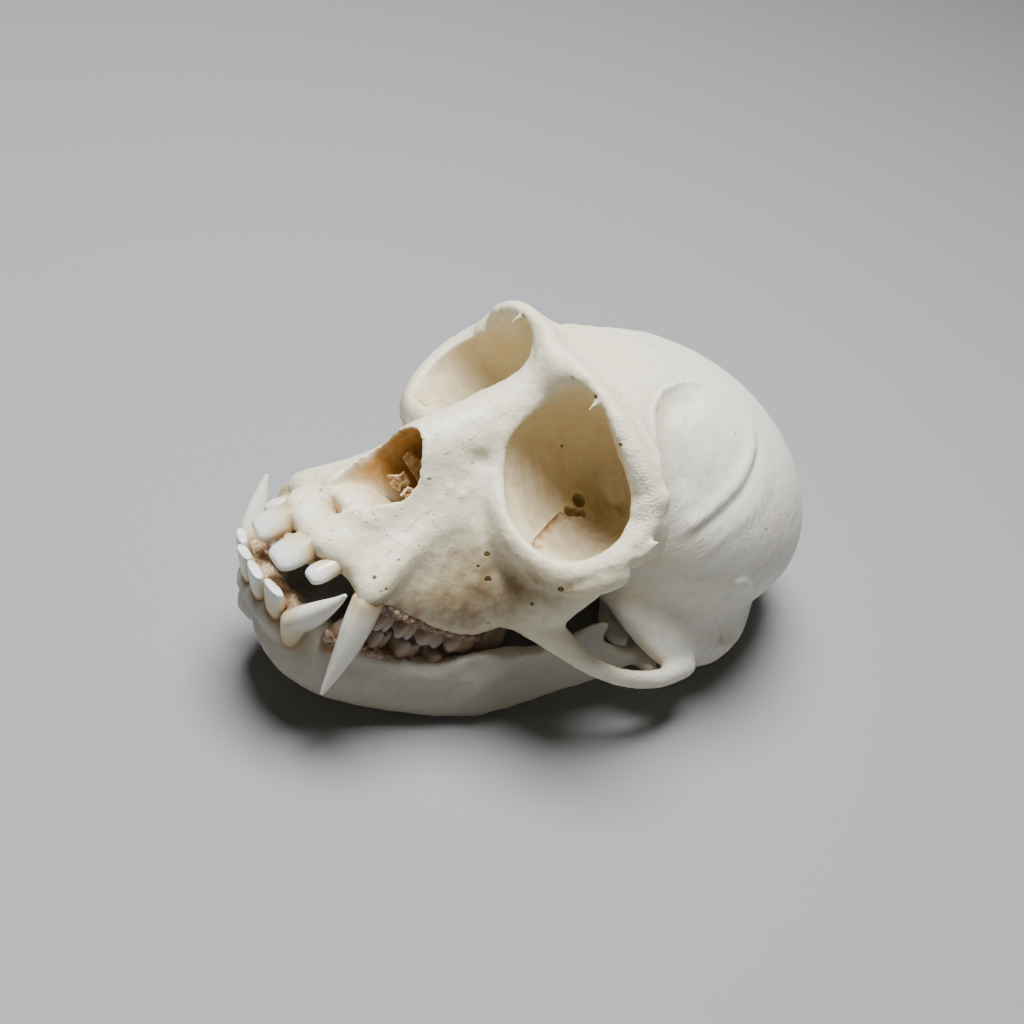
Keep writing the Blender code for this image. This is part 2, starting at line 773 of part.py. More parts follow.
def name_sides(teeth):
    """Each tooth with its mirror image, named left and right."""
    named = []
    for tooth in teeth:
        base = tooth.name
        other = mirrored(tooth)
        tooth.name = base + "_left"
        other.name = base + "_right"
        named += [tooth, other]
    return named


# Placing on the table


def lowest(thing, pitch):
    """How low a thing reaches once the skull is pitched snout up."""
    rise, run = math.sin(pitch), math.cos(pitch)
    return min(vertex.co.x * rise + vertex.co.z * run for vertex in thing.data.vertices)


def rest_pitch(cranium, jaw):
    """The pitch at which the jaw and the back of the head touch the table together."""
    low, high = math.radians(15.0), math.radians(60.0)
    for _ in range(40):
        middle = (low + high) / 2
        if lowest(jaw, middle) > lowest(cranium, middle):
            high = middle
        else:
            low = middle
    return middle


def table_block(top):
    """A block whose upper face is the table."""
    builder = bmesh.new()
    bmesh.ops.create_cube(builder, size=1.0)
    place = Matrix.Translation((0.0, 0.0, top - 10.0)) @ Matrix.Diagonal((300.0, 300.0, 20.0, 1.0))
    bmesh.ops.transform(builder, matrix=place, verts=builder.verts)
    return object_from("table_block", builder)


def lay_down(cranium, jaw, teeth):
    """Turns the skull snout up, levels what it rests on and centres it over the origin."""
    face_front = Matrix(((0, 1, 0, 0), (-1, 0, 0, 0), (0, 0, 1, 0), (0, 0, 0, 1)))
    pitch = rest_pitch(cranium, jaw)
    table = lowest(cranium, pitch) + REST_FLAT
    turn = Matrix.Rotation(-pitch, 4, "X") @ face_front
    corners = []
    for thing in (cranium, jaw, *teeth):
        thing.data.transform(turn)
        if thing in (cranium, jaw):
            cut(thing, [table_block(table)])
        corners += [vertex.co.copy() for vertex in thing.data.vertices]
    low = [min(corner[axis] for corner in corners) for axis in range(3)]
    high = [max(corner[axis] for corner in corners) for axis in range(3)]
    base = Vector(((low[0] + high[0]) / 2, (low[1] + high[1]) / 2, low[2]))
    settle = Matrix.Scale(MM, 4) @ Matrix.Translation(-base)
    for thing in (cranium, jaw, *teeth):
        thing.data.transform(settle)
    return settle @ turn


def paint(name, things, look):
    """One plain material on a group of things, with their shading made smooth."""
    colour, roughness = look
    material = bpy.data.materials.new(name)
    material.use_nodes = True
    shader = material.node_tree.nodes["Principled BSDF"]
    shader.inputs["Base Color"].default_value = (*colour, 1.0)
    shader.inputs["Roughness"].default_value = roughness
    shader.inputs["Metallic"].default_value = 0.0
    for thing in things:
        thing.data.materials.clear()
        thing.data.materials.append(material)
        thing.data.shade_smooth()
        thing.data.set_sharp_from_angle(angle=math.radians(40.0))


def main():
    clear_scene()
    cranium = make_cranium()
    jaw = make_jaw()
    upper = name_sides(upper_teeth())
    lower = name_sides(lower_teeth())
    cut(cranium, [swollen(jaw, JOINT_GAP), *(swollen(tooth, SOCKET_GAP) for tooth in upper)])
    cut(jaw, [swollen(tooth, SOCKET_GAP) for tooth in lower])
    to_world = lay_down(cranium, jaw, upper + lower)
    paint("cranium_bone", [cranium], CRANIUM_BONE)
    paint("jaw_bone", [jaw], JAW_BONE)
    teeth = upper + lower
    incisors = [tooth for tooth in teeth if "incisor" in tooth.name]
    canines = [tooth for tooth in teeth if "canine" in tooth.name]
    paint("incisor_enamel", incisors, INCISOR_ENAMEL)
    paint("canine_enamel", canines, CANINE_ENAMEL)
    cheek_teeth = [tooth for tooth in teeth if tooth not in incisors + canines]
    paint("cheek_tooth_enamel", cheek_teeth, CHEEK_TOOTH_ENAMEL)
    return to_world


if __name__ == "__main__":
    main()
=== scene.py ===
# %% [markdown]
# # A vervet monkey skull
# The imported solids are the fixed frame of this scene: they give the size and the place of each
# bone and tooth. Bone is a free form with no flat or turned face, so it could be sculpted by hand,
# cast from a scan, or built up like clay. Here it is built up like clay, because every lump then
# has a name and a size that can be read and changed.

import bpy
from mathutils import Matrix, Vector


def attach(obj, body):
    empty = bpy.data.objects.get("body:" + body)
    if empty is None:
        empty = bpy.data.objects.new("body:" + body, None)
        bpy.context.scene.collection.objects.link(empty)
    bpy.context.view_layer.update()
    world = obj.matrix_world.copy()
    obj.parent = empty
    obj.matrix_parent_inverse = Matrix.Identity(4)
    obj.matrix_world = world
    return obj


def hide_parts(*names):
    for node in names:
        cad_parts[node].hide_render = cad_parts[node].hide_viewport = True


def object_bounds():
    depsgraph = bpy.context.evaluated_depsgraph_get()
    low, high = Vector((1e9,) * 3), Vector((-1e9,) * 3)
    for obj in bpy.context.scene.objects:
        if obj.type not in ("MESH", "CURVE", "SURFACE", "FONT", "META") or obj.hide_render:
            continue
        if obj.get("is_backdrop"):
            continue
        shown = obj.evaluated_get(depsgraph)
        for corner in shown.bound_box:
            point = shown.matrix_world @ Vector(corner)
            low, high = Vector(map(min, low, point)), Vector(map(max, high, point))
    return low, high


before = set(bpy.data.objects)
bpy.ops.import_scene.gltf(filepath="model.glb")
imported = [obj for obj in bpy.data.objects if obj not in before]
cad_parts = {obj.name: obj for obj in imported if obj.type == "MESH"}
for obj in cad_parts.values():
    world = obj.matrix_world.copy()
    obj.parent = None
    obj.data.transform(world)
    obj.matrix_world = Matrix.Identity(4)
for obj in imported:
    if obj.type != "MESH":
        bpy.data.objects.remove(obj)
CAD_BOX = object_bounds()
print("nodes:", len(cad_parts))

# %% [markdown]
# ## The skull's own frame
# A skull is easiest to describe the way anatomists do: x runs forward, y to the animal's left and
# z up from the biting plane, in millimetres. The skull lies snout up on a table, so everything is
# modelled level and turned once at the end, by the pitch at which the skull rests.

# %% Frame of the skull
import math

import bpy
import numpy as np
from mathutils import Matrix, Vector, noise
from mathutils.bvhtree import BVHTree

MM = 0.001
REST_PITCH = math.radians(29.46)
FACE_FRONT = Matrix(((0, 1, 0, 0), (-1, 0, 0, 0), (0, 0, 1, 0), (0, 0, 0, 1)))
TURN = Matrix.Scale(MM, 4) @ Matrix.Rotation(-REST_PITCH, 4, "X") @ FACE_FRONT

# %% [markdown]
# ## Working tools
# Every step below picks one piece, changes it, and goes on. A modifier is added with its settings
# and applied at once, as in the modifier panel, so that the next step works on a plain mesh.

# %% Selecting and applying


def only(*pieces):
    """Selects these pieces alone and makes the last one active."""
    bpy.ops.object.select_all(action="DESELECT")
    for piece in pieces:
        piece.select_set(True)
    bpy.context.view_layer.objects.active = pieces[-1]
    return pieces[-1]


def shaped(piece, kind, **settings):
    """Adds one modifier with its settings and applies it."""
    only(piece)
    modifier = piece.modifiers.new(kind.lower(), kind)
    for name, value in settings.items():
        setattr(modifier, name, value)
    bpy.ops.object.modifier_apply(modifier=modifier.name)
    return piece


def joined(name, pieces):
    """One object that holds all the pieces."""
    piece = only(*pieces)
    if len(pieces) > 1:
        bpy.ops.object.join()
    piece.name = name
    return piece


def thrown_away(piece):
    mesh = piece.data
    bpy.data.objects.remove(piece, do_unlink=True)
    bpy.data.meshes.remove(mesh)


def carved(piece, cutters):
    """Takes each cutter out of the piece and throws it away."""
    for cutter in cutters:
        shaped(piece, "BOOLEAN", operation="DIFFERENCE", object=cutter, solver="MANIFOLD")
        thrown_away(cutter)
    return piece


def clay(piece, grain, smooth):
    """Melts overlapping lumps into one skin and rubs it smooth."""
    shaped(piece, "REMESH", mode="VOXEL", voxel_size=grain, use_smooth_shade=True)
    if smooth:
        shaped(piece, "SMOOTH", factor=0.5, iterations=smooth)
    return piece


def both_sides(piece):
    """The piece with its mirror image across the skull's middle plane."""
    return shaped(piece, "MIRROR", use_axis=(False, True, False), use_mirror_merge=False)


def cut_flat(piece, place, normal, **settings):
    """Cuts the piece with a plane and closes the cut."""
    only(piece)
    bpy.ops.object.mode_set(mode="EDIT")
    bpy.ops.mesh.select_all(action="SELECT")
    bpy.ops.mesh.bisect(plane_co=place, plane_no=normal, use_fill=True, **settings)
    bpy.ops.object.mode_set(mode="OBJECT")


# %% [markdown]
# ## Lumps of clay
# Three kinds of lump make all the bone. A ball is a sphere, stretched and turned. A sleeve is a
# ring that is extruded from section to section, each section put in its place, with its two ends
# filled. A bar is a sleeve whose sections follow a smooth path and carry their own thickness.

# %% Ball, sleeve and bar


def ball(name, centre, radii, turn=(0.0, 0.0, 0.0)):
    bpy.ops.object.select_all(action="DESELECT")
    bpy.ops.mesh.primitive_uv_sphere_add(
        segments=32,
        ring_count=18,
        radius=1.0,
        location=centre,
        rotation=[math.radians(angle) for angle in turn],
        scale=radii,
    )
    piece = bpy.context.object
    piece.name = name
    bpy.ops.object.transform_apply(location=True, rotation=True, scale=True)
    return piece


def put_in_place(piece, rings):
    """Follows the extruded edges from ring to ring and moves each point to its place."""
    linked = [[] for _ in piece.data.vertices]
    for edge in piece.data.edges:
        one, other = edge.vertices
        linked[one].append(other)
        linked[other].append(one)
    order = list(range(len(rings[0])))
    done = set(order)
    for number, ring in enumerate(rings):
        for vertex, place in zip(order, ring):
            piece.data.vertices[vertex].co = place
        if number < len(rings) - 1:
            order = [next(other for other in linked[v] if other not in done) for v in order]
            done.update(order)


def sleeve(name, rings, closed=False):
    """A ring extruded through all the sections, with its ends filled or bridged."""
    bpy.ops.object.select_all(action="DESELECT")
    bpy.ops.mesh.primitive_circle_add(vertices=len(rings[0]), radius=1.0, location=(0, 0, 0))
    piece = bpy.context.object
    piece.name = name
    bpy.ops.object.mode_set(mode="EDIT")
    bpy.ops.mesh.select_all(action="SELECT")
    for _ in rings[1:]:
        bpy.ops.mesh.extrude_edges_indiv()
    bpy.ops.object.mode_set(mode="OBJECT")
    put_in_place(piece, rings)
    bpy.ops.object.mode_set(mode="EDIT")
    bpy.ops.mesh.select_all(action="DESELECT")
    bpy.ops.mesh.select_non_manifold()
    if closed:
        bpy.ops.mesh.bridge_edge_loops()
    else:
        bpy.ops.mesh.fill_holes(sides=0)
    bpy.ops.mesh.select_all(action="SELECT")
    bpy.ops.mesh.normals_make_consistent(inside=False)
    bpy.ops.object.mode_set(mode="OBJECT")
    return piece


def turns(count):
    """The angles of so many even steps round a circle."""
    return [2 * math.pi * index / count for index in range(count)]


def oval(centre, high, side, count):
    """Points round an oval whose half axes are two vectors."""
    return [centre + side * math.cos(turn) + high * math.sin(turn) for turn in turns(count)]


def boxy(value, square):
    """Bends a sine or cosine so that an oval made of it gets a little boxy."""
    return math.copysign(abs(value) ** square, value)


def smooth_path(knots, steps, closed=False):
    """Points on a smooth curve through the knots, which may hold widths after x, y and z."""
    knots = [np.array(knot, float) for knot in knots]
    if closed:
        padded = [knots[-1], *knots, knots[0], knots[1]]
        spans = len(knots)
    else:
        padded = [2 * knots[0] - knots[1], *knots, 2 * knots[-1] - knots[-2]]
        spans = len(knots) - 1
    path = []
    for span in range(spans):
        before, start, end, after = padded[span : span + 4]
        for step in range(steps):
            t = step / steps
            bend = 2 * before - 5 * start + 4 * end - after
            curl = 3 * start - before - 3 * end + after
            path.append(start + 0.5 * ((end - before) * t + bend * t**2 + curl * t**3))
    if not closed:
        path.append(knots[-1])
    return path


CAP_TURNS = (math.radians(35), math.radians(65))


def bar(name, knots, up=(0.0, 0.0, 1.0), closed=False, steps=6, ring=20):
    """A bar of oval section: a knot is x, y, z, half height and half width."""
    path = smooth_path(knots, steps, closed)
    count = len(path)
    rings = []
    for index, knot in enumerate(path):
        ahead = path[(index + 1) % count] if closed else path[min(index + 1, count - 1)]
        behind = path[index - 1] if closed else path[max(index - 1, 0)]
        along = Vector(ahead[:3] - behind[:3]).normalized()
        side = along.cross(Vector(up)).normalized()
        high = side.cross(along)
        middle = Vector(knot[:3])
        rings.append(oval(middle, high * knot[3], side * knot[4], ring))
        if not closed and index in (0, count - 1):
            outward = -along if index == 0 else along
            cap = []
            for turn in CAP_TURNS:
                reach = outward * (min(knot[3:5]) * math.sin(turn))
                shrink = math.cos(turn)
                cap.append(oval(middle + reach, high * knot[3] * shrink, side * knot[4] * shrink, ring))
            rings = cap[::-1] + rings if index == 0 else rings + cap
    return sleeve(name, rings, closed)


# %% [markdown]
# ## The camera first
# The camera comes early, because the marks that the photograph shows on the bone, such as a
# seam or a vein hole, are placed by looking through it. Its place, its aim and its lens repeat the
# photograph's view of the skull, in the skull's own frame.

# %% Camera values
PHOTO_SIDE = 1024
CAMERA_PLACE = Vector((233.2, 177.3, 105.3))
CAMERA_AIM = Vector((21.87, -2.23, 20.46))
CAMERA_UP = Vector((0.22179, -0.61774, 0.75446))
CAMERA_PIXELS = 1600.5
SENSOR = 36.0

LOOK = (CAMERA_AIM - CAMERA_PLACE).normalized()
RIGHT = LOOK.cross(CAMERA_UP).normalized()
ABOVE = RIGHT.cross(LOOK)


def sight_line(pixel):
    """The direction in which the camera sees a pixel of the photograph."""
    across = (pixel[0] - PHOTO_SIDE / 2) / CAMERA_PIXELS
    down = (pixel[1] - PHOTO_SIDE / 2) / CAMERA_PIXELS
    return (LOOK + RIGHT * across - ABOVE * down).normalized()


def seen_at(tree, pixel):
    """The point of a surface that the camera sees at a pixel, and the surface's normal there."""
    place, normal, _, _ = tree.ray_cast(CAMERA_PLACE, sight_line(pixel))
    return place, normal


# %% [markdown]
# ## Braincase and face
# The braincase is an egg that is widest low down and narrows behind the eyes. The face is a wedge
# that slopes from the brow to the front teeth. Both are sleeves through named sections: the
# braincase's are half ovals above and below the widest point, the face's are outlines.

# %% Sections of the braincase
BRAINCASE = (
    (-39.3, 37.0, 33.4, 2.5, 35.2),
    (-38.4, 40.5, 30.6, 7.0, 35.3),
    (-36.2, 45.0, 27.0, 11.8, 35.6),
    (-32.0, 49.4, 23.2, 15.8, 36.2),
    (-26.0, 53.8, 19.4, 20.4, 36.8),
    (-18.0, 58.0, 16.4, 25.0, 37.3),
    (-9.0, 61.0, 15.2, 28.8, 37.7),
    (0.0, 62.1, 15.5, 30.4, 37.7),
    (9.0, 61.6, 17.0, 29.2, 38.0),
    (16.0, 60.4, 19.0, 26.1, 39.0),
    (22.0, 59.4, 22.0, 22.2, 41.0),
    (28.0, 57.4, 26.0, 19.6, 43.5),
    (34.0, 54.6, 33.0, 17.0, 46.0),
    (39.0, 52.7, 42.0, 11.0, 47.5),
    (41.5, 51.0, 46.0, 6.0, 48.0),
)
BRAIN = (
    (-33.5, 43.5, 28.5, 8.0, 36.0),
    (-25.0, 50.6, 25.0, 17.6, 37.0),
    (-12.0, 57.2, 21.0, 24.8, 37.5),
    (0.0, 59.3, 21.5, 27.6, 37.7),
    (9.5, 58.6, 25.0, 26.0, 39.0),
    (14.0, 57.8, 42.0, 22.0, 48.0),
    (20.0, 56.4, 49.0, 14.0, 52.5),
)


def egg(name, sections, steps, count):
    """A sleeve whose sections are x, top, bottom, half width and height of the widest point."""
    rings = []
    for x, top, bottom, half, widest in smooth_path(sections, steps):
        ring = []
        for turn in turns(count):
            rise = math.sin(turn)
            height = (top - widest) if rise > 0 else (widest - bottom)
            ring.append((x, half * math.cos(turn), widest + rise * height))
        rings.append(ring)
    return sleeve(name, rings)


# %% Sections of the face
FACE = (
    (18.0, (0, 26), (6, 25), (9, 21), (11, 16), (12, 11), (6, 9), (0, 9)),
    (25.0, (0, 36), (6, 33), (10, 26), (14, 18), (16, 9), (8, 6.5), (0, 6.5)),
    (32.0, (0, 47), (5, 44), (9, 33), (17.5, 22), (18.6, 6.4), (9, 4.6), (0, 5.5)),
    (38.0, (0, 49.5), (4.6, 45), (9, 33), (18.2, 22.6), (18.6, 5.2), (9, 4.0), (0, 5)),
    (42.0, (0, 49), (4.4, 43), (9.6, 31), (16.6, 21.6), (18.0, 5.0), (9, 3.8), (0, 5)),
    (46.0, (0, 42), (4.3, 38.5), (9.2, 28.4), (14.2, 20), (17.3, 5.0), (9, 3.8), (0, 5)),
    (51.0, (0, 36.4), (4.3, 33.0), (7.8, 24.4), (11.6, 16.3), (16.4, 5.0), (8, 3.8), (0, 5)),
    (55.5, (0, 31.8), (4.2, 28.2), (7.3, 19.8), (10.8, 13.2), (15.4, 5.6), (8, 4.2), (0, 5)),
    (59.0, (0, 27.0), (3.8, 21.8), (6.9, 15.4), (10.0, 11.3), (13.1, 7.5), (7, 4.8), (0, 4.8)),
    (62.0, (0, 10.6), (4.2, 12.0), (6.9, 12.0), (9.2, 10), (10.8, 7.5), (6, 4.8), (0, 4.8)),
    (65.0, (0, 9.0), (4.0, 9.6), (6.5, 9.4), (8.1, 8.5), (8.3, 7.0), (4, 5.2), (0, 5.2)),
    (66.3, (0, 9.6), (3.0, 9.5), (4.6, 9.0), (5.4, 8.2), (5.4, 7.2), (3, 6.2), (0, 6.2)),
)


def face():
    rings = []
    flat = [[station[0], *(number for pair in station[1:] for number in pair)] for station in FACE]
    for station in smooth_path(flat, 3):
        x = station[0]
        half = [(station[index], station[index + 1]) for index in range(1, len(station), 2)]
        outline = smooth_path(half, 4)
        left = [(x, y, z) for y, z in outline]
        right = [(x, -y, z) for y, z in outline[-2:0:-1]]
        rings.append(left + right)
    return sleeve("face", rings)


# %% [markdown]
# ## Under the braincase
# Under the braincase sit the ear bulbs, the knobs behind the ears, the crest for the neck muscles
# and the sheet of bone that carries the rear end of the cheek arch. Behind the palate stand two
# pairs of thin wings, to which the jaw muscles were fixed.

# %% Lumps of the skull base
ARCH_ROOT = (
    (14.0, 24.3, 21.8),
    (9.5, 27.3, 20.2),
    (5.5, 30.0, 18.4),
    (1.0, 32.2, 17.4),
    (-4.0, 31.8, 18.2),
    (-9.0, 29.8, 19.6),
    (-15.0, 27.8, 20.4),
    (-22.0, 24.8, 21.6),
    (-28.0, 20.5, 23.4),
)
NUCHAL_RIDGE = (
    (-14.0, 27.0, 20.5, 2.0, 2.0),
    (-22.0, 23.5, 22.0, 1.9, 1.9),
    (-29.0, 18.0, 24.5, 1.8, 1.8),
    (-34.5, 11.0, 28.0, 1.7, 1.7),
    (-37.4, 4.0, 31.0, 1.8, 1.8),
    (-37.8, 0.0, 31.5, 1.8, 1.8),
)
INNER_WING = (
    (24.0, 8.5, 8.5, 3.5, 0.9),
    (19.0, 8.8, 11.0, 5.0, 0.9),
    (13.0, 9.0, 15.0, 4.5, 0.9),
)
OUTER_WING = (
    (24.0, 11.0, 9.5, 3.5, 0.9),
    (18.0, 13.0, 12.5, 5.0, 0.9),
    (12.0, 14.5, 17.0, 4.5, 0.9),
)


def arch_root():
    """The sheet that leaves the side of the braincase for the rear end of the cheek arch."""
    rings = []
    for x, y, z in smooth_path(ARCH_ROOT, 3):
        rings.append(
            [
                (x, 14.0, z - 1.0),
                (x, y - 2.5, z - 1.6),
                (x, y - 0.4, z - 1.0),
                (x, y, z + 0.4),
                (x, y - 1.2, z + 2.0),
                (x, y - 3.2, z + 5.5),
                (x, y - 4.6, z + 11.0),
                (x, 14.0, z + 16.0),
            ]
        )
    return sleeve("arch_root", rings)


def base_lumps():
    return [
        both_sides(bar("nuchal_ridge", NUCHAL_RIDGE)),
        both_sides(ball("mastoid", (-13.5, 24.2, 19.6), (6.2, 4.4, 4.6), (0, 0, 12))),
        both_sides(ball("ear_bulb", (-5.0, 14.0, 15.0), (9.5, 6.0, 5.5), (0, 0, 30))),
        both_sides(arch_root()),
        both_sides(ball("neck_condyle", (-19.0, 7.0, 15.0), (4.5, 3.0, 2.6), (0, 0, 25))),
        ball("base_bar", (4.0, 0.0, 18.0), (20.0, 8.5, 5.0)),
        both_sides(bar("inner_wing", INNER_WING)),
        both_sides(bar("outer_wing", OUTER_WING)),
    ]


# %% [markdown]
# ## Eye sockets, brow and cheeks
# The two eye sockets are deep cups with a raised rim. Each rim is an oval that leans and turns
# outwards. The same oval serves three times: as the bar of the rim, as the outside of the cup and
# as the hollow that is cut out of it. The brow runs over both rims, and the cheek arch is a thin
# strut that springs from under them.

# %% The oval of an eye socket
ORBIT_CENTRE = Vector((37.8, 16.7, 38.0))
ORBIT_LONG = 13.3
ORBIT_SHORT = 10.9
ORBIT_YAW = math.radians(24.5)
ORBIT_TILT = math.radians(-21.2)
ORBIT_ROLL = math.radians(-34.8)
ORBIT_APEX = Vector((14.5, 7.5, 36.0))
SOCKET_WALL = 1.5
OUTWARD = Vector((math.cos(ORBIT_YAW), math.sin(ORBIT_YAW), 0.0))
ACROSS = Vector((-math.sin(ORBIT_YAW), math.cos(ORBIT_YAW), 0.0))
UPWARD = Vector((0.0, 0.0, 1.0)) * math.cos(ORBIT_TILT) + OUTWARD * math.sin(ORBIT_TILT)
ORBIT_AXIS = ACROSS.cross(UPWARD)
FLAT_CORNER = math.radians(104)
FLAT_BY = 1.8
CUP_SHARES = ((0.0, 1.0), (0.12, 1.03), (0.3, 1.0), (0.5, 0.87), (0.7, 0.66), (0.88, 0.4), (1.0, 0.2))
CUP_FLARE = 0.12
FROM_APEX = (ORBIT_CENTRE - ORBIT_APEX).normalized()
RIM_UP = (1.0, 0.35, -0.3)


def orbit_ring(shift, count=48):
    """Points on the left socket's rim, moved along the socket's axis."""
    first = ACROSS * math.cos(ORBIT_ROLL) + UPWARD * math.sin(ORBIT_ROLL)
    second = UPWARD * math.cos(ORBIT_ROLL) - ACROSS * math.sin(ORBIT_ROLL)
    middle = ORBIT_CENTRE + ORBIT_AXIS * shift
    return oval(middle, second * ORBIT_SHORT, first * ORBIT_LONG, count)


def orbit_cup(name, margin, mouth):
    """The socket as a solid: margin makes it wider all over, mouth carries it past the rim."""
    rings = []
    if mouth:
        rings.append([p + (p - ORBIT_CENTRE) * CUP_FLARE for p in orbit_ring(mouth)])
    for share, width in smooth_path(CUP_SHARES, 3):
        hub = ORBIT_CENTRE.lerp(ORBIT_APEX, float(share))
        ring = []
        for turn, point in zip(turns(48), orbit_ring(0.0)):
            reach = (point - ORBIT_CENTRE) * float(width)
            inward = FLAT_BY * max(math.cos(turn - FLAT_CORNER), 0.0) ** 4 if mouth else 0.0
            ring.append(hub + reach + reach.normalized() * (margin - inward))
        rings.append(ring)
    if mouth:
        mouth_ring = zip(rings[0], rings[1], orbit_ring(0.0))
        rings[0] = [far + (near - start) for far, near, start in mouth_ring]
    return sleeve(name, rings)


def orbit_rim():
    """The raised rim: thick on the outer side, thin towards the nose."""
    knots = []
    for point in orbit_ring(0.0, 24):
        sideways = max((point.y - ORBIT_CENTRE.y) / ORBIT_LONG, 0.0)
        upward = max((point.z - ORBIT_CENTRE.z) / ORBIT_LONG, 0.0)
        wide = 1.8 + 0.6 * sideways + 0.5 * upward
        away = (point - ORBIT_CENTRE).normalized()
        place = point + away * (wide * 0.95) - FROM_APEX * (wide * (0.45 + 0.4 * sideways))
        knots.append((*place, wide, wide))
    return bar("rim", knots, up=RIM_UP, closed=True, steps=3)


def under_rim():
    """The bone that fills the corner between the lower rim and the cheek."""
    knots = []
    for point in orbit_ring(0.0, 24):
        out = point - ORBIT_CENTRE
        if out.z < -4.0 or (out.y < -8.0 and out.z < 0.0):
            knots.append((point.y, point + out.normalized() * 3.6 - FROM_APEX * 3.4))
    knots.sort(key=lambda knot: knot[0])
    return bar("under_rim", [(*place, 2.9, 2.6) for _, place in knots], up=RIM_UP, steps=3)


# %% Brow, cheek and arch
BROW = (
    (23.5, 28.0, 36.5, 2.4, 2.4),
    (27.5, 26.8, 42.3, 2.7, 2.7),
    (32.8, 22.3, 47.0, 2.8, 2.8),
    (37.1, 15.5, 50.4, 2.7, 2.7),
    (40.2, 8.0, 51.9, 2.5, 2.3),
    (41.5, 0.0, 50.6, 2.6, 2.3),
)
CHEEK_BONE = (
    (38.0, 17.0, 13.0, 5.5, 2.0),
    (34.0, 20.5, 15.5, 6.3, 2.2),
    (31.0, 23.8, 18.0, 5.4, 2.2),
    (29.2, 25.6, 22.8, 3.7, 2.1),
    (27.6, 27.0, 28.0, 2.9, 2.0),
    (25.4, 27.9, 33.5, 2.5, 2.1),
    (24.6, 28.0, 37.0, 2.5, 2.2),
)
UNDER_EYE = (
    (41.5, 12.0, 25.5, 2.6, 2.2),
    (37.5, 17.8, 23.8, 3.4, 2.2),
    (33.0, 21.8, 23.4, 3.8, 2.2),
    (28.8, 25.0, 26.0, 3.6, 2.0),
)
ARCH = (
    (30.0, 23.5, 15.0, 4.0, 1.7),
    (25.0, 26.6, 13.9, 2.7, 1.6),
    (19.5, 29.2, 13.0, 2.0, 1.5),
    (14.0, 31.1, 12.9, 1.8, 1.4),
    (8.0, 32.5, 14.0, 1.9, 1.4),
    (2.0, 32.6, 15.9, 2.1, 1.5),
    (-4.0, 31.0, 18.2, 2.3, 1.8),
)
CANINE_RIDGE = (
    (57.4, 14.9, 6.6, 3.2, 3.2),
    (55.0, 12.6, 11.2, 2.9, 2.9),
    (51.0, 10.0, 18.4, 2.3, 2.3),
    (47.5, 7.9, 26.5, 1.5, 1.5),
)
RIM_SHOULDER = ((29.5, 26.6, 43.2), (3.0, 2.4, 4.2), (0.0, -20.0, 0.0))
FILLET = 0.5


def face_lumps():
    return [
        both_sides(bar("brow", BROW)),
        both_sides(orbit_rim()),
        both_sides(under_rim()),
        both_sides(orbit_cup("socket", SOCKET_WALL, 0.0)),
        both_sides(bar("cheek_bone", CHEEK_BONE, up=(0.6, 0.0, 1.0))),
        both_sides(bar("under_eye", UNDER_EYE)),
        both_sides(bar("arch", ARCH)),
        both_sides(ball("rim_shoulder", *RIM_SHOULDER)),
    ]


def soft_face_lumps():
    """The forms of the face that run into the bone round them without an edge."""
    wide_brow = [(x, y, z, high + FILLET, half + FILLET) for x, y, z, high, half in BROW]
    return [
        both_sides(bar("canine_ridge", CANINE_RIDGE, up=(1.0, 0.0, 0.0))),
        both_sides(bar("wide_brow", wide_brow)),
    ]


# %% [markdown]
# ## Hollows
# The hollows are cut after the lumps are melted together: the vault of the palate, the nose, the
# two sockets, the room for the brain and the great hole under it for the spinal cord. Each cutter
# is a sleeve of its own.

# %% Cutters
PALATE = (
    (16.0, 9.0, 8.0),
    (24.0, 10.8, 9.5),
    (34.0, 11.6, 10.5),
    (46.0, 11.4, 10.0),
    (54.0, 9.8, 9.0),
    (60.0, 6.8, 7.5),
    (62.5, 4.0, 6.2),
)
NOSE = (
    (72.0, 0.0, 22.0, 7.0, 12.0),
    (60.0, 0.0, 20.5, 6.6, 9.8),
    (54.0, 0.0, 21.0, 6.6, 9.2),
    (46.0, 0.0, 22.5, 6.2, 9.8),
    (38.0, 0.0, 22.5, 6.0, 9.5),
    (28.0, 0.0, 18.5, 6.0, 7.0),
    (20.0, 0.0, 15.0, 6.2, 5.0),
    (10.0, 0.0, 8.0, 6.4, 5.0),
)
BROW_RECESS = ((38.6, 10.8, 44.8), (10.5, 6.2, 6.6))
FORAMEN_CENTRE = Vector((-26.0, 0.0, 20.0))
FORAMEN_HALF_LENGTH = 7.2
FORAMEN_HALF_WIDTH = 6.4


def palate_cutter():
    rings = []
    for x, half, roof in smooth_path(PALATE, 3):
        ring = []
        for turn in turns(32):
            rise = math.sin(turn)
            across = boxy(math.cos(turn), 0.7)
            ring.append((x, half * across, 2.0 + rise * ((roof - 2.0) if rise > 0 else 8.0)))
        rings.append(ring)
    return sleeve("palate_cutter", rings)


def nose_cutter():
    rings = []
    for x, y, z, half, rise in smooth_path(NOSE, 4):
        ring = []
        for turn in turns(32):
            narrow = 1.0 - 0.25 * math.sin(turn) if turn < math.pi else 1.0 + 0.45 * math.sin(turn)
            ring.append((x, y + half * narrow * math.cos(turn), z + rise * math.sin(turn)))
        rings.append(ring)
    return sleeve("nose_cutter", rings)


def foramen_cutter():
    axis = Vector((-0.55, 0.0, -0.83)).normalized()
    side = Vector((0.0, 1.0, 0.0))
    high = side.cross(axis)
    rings = []
    for shift in (-7.0, 9.0):
        middle = FORAMEN_CENTRE + axis * shift
        rings.append(oval(middle, high * FORAMEN_HALF_LENGTH, side * FORAMEN_HALF_WIDTH, 40))
    return sleeve("foramen_cutter", rings)


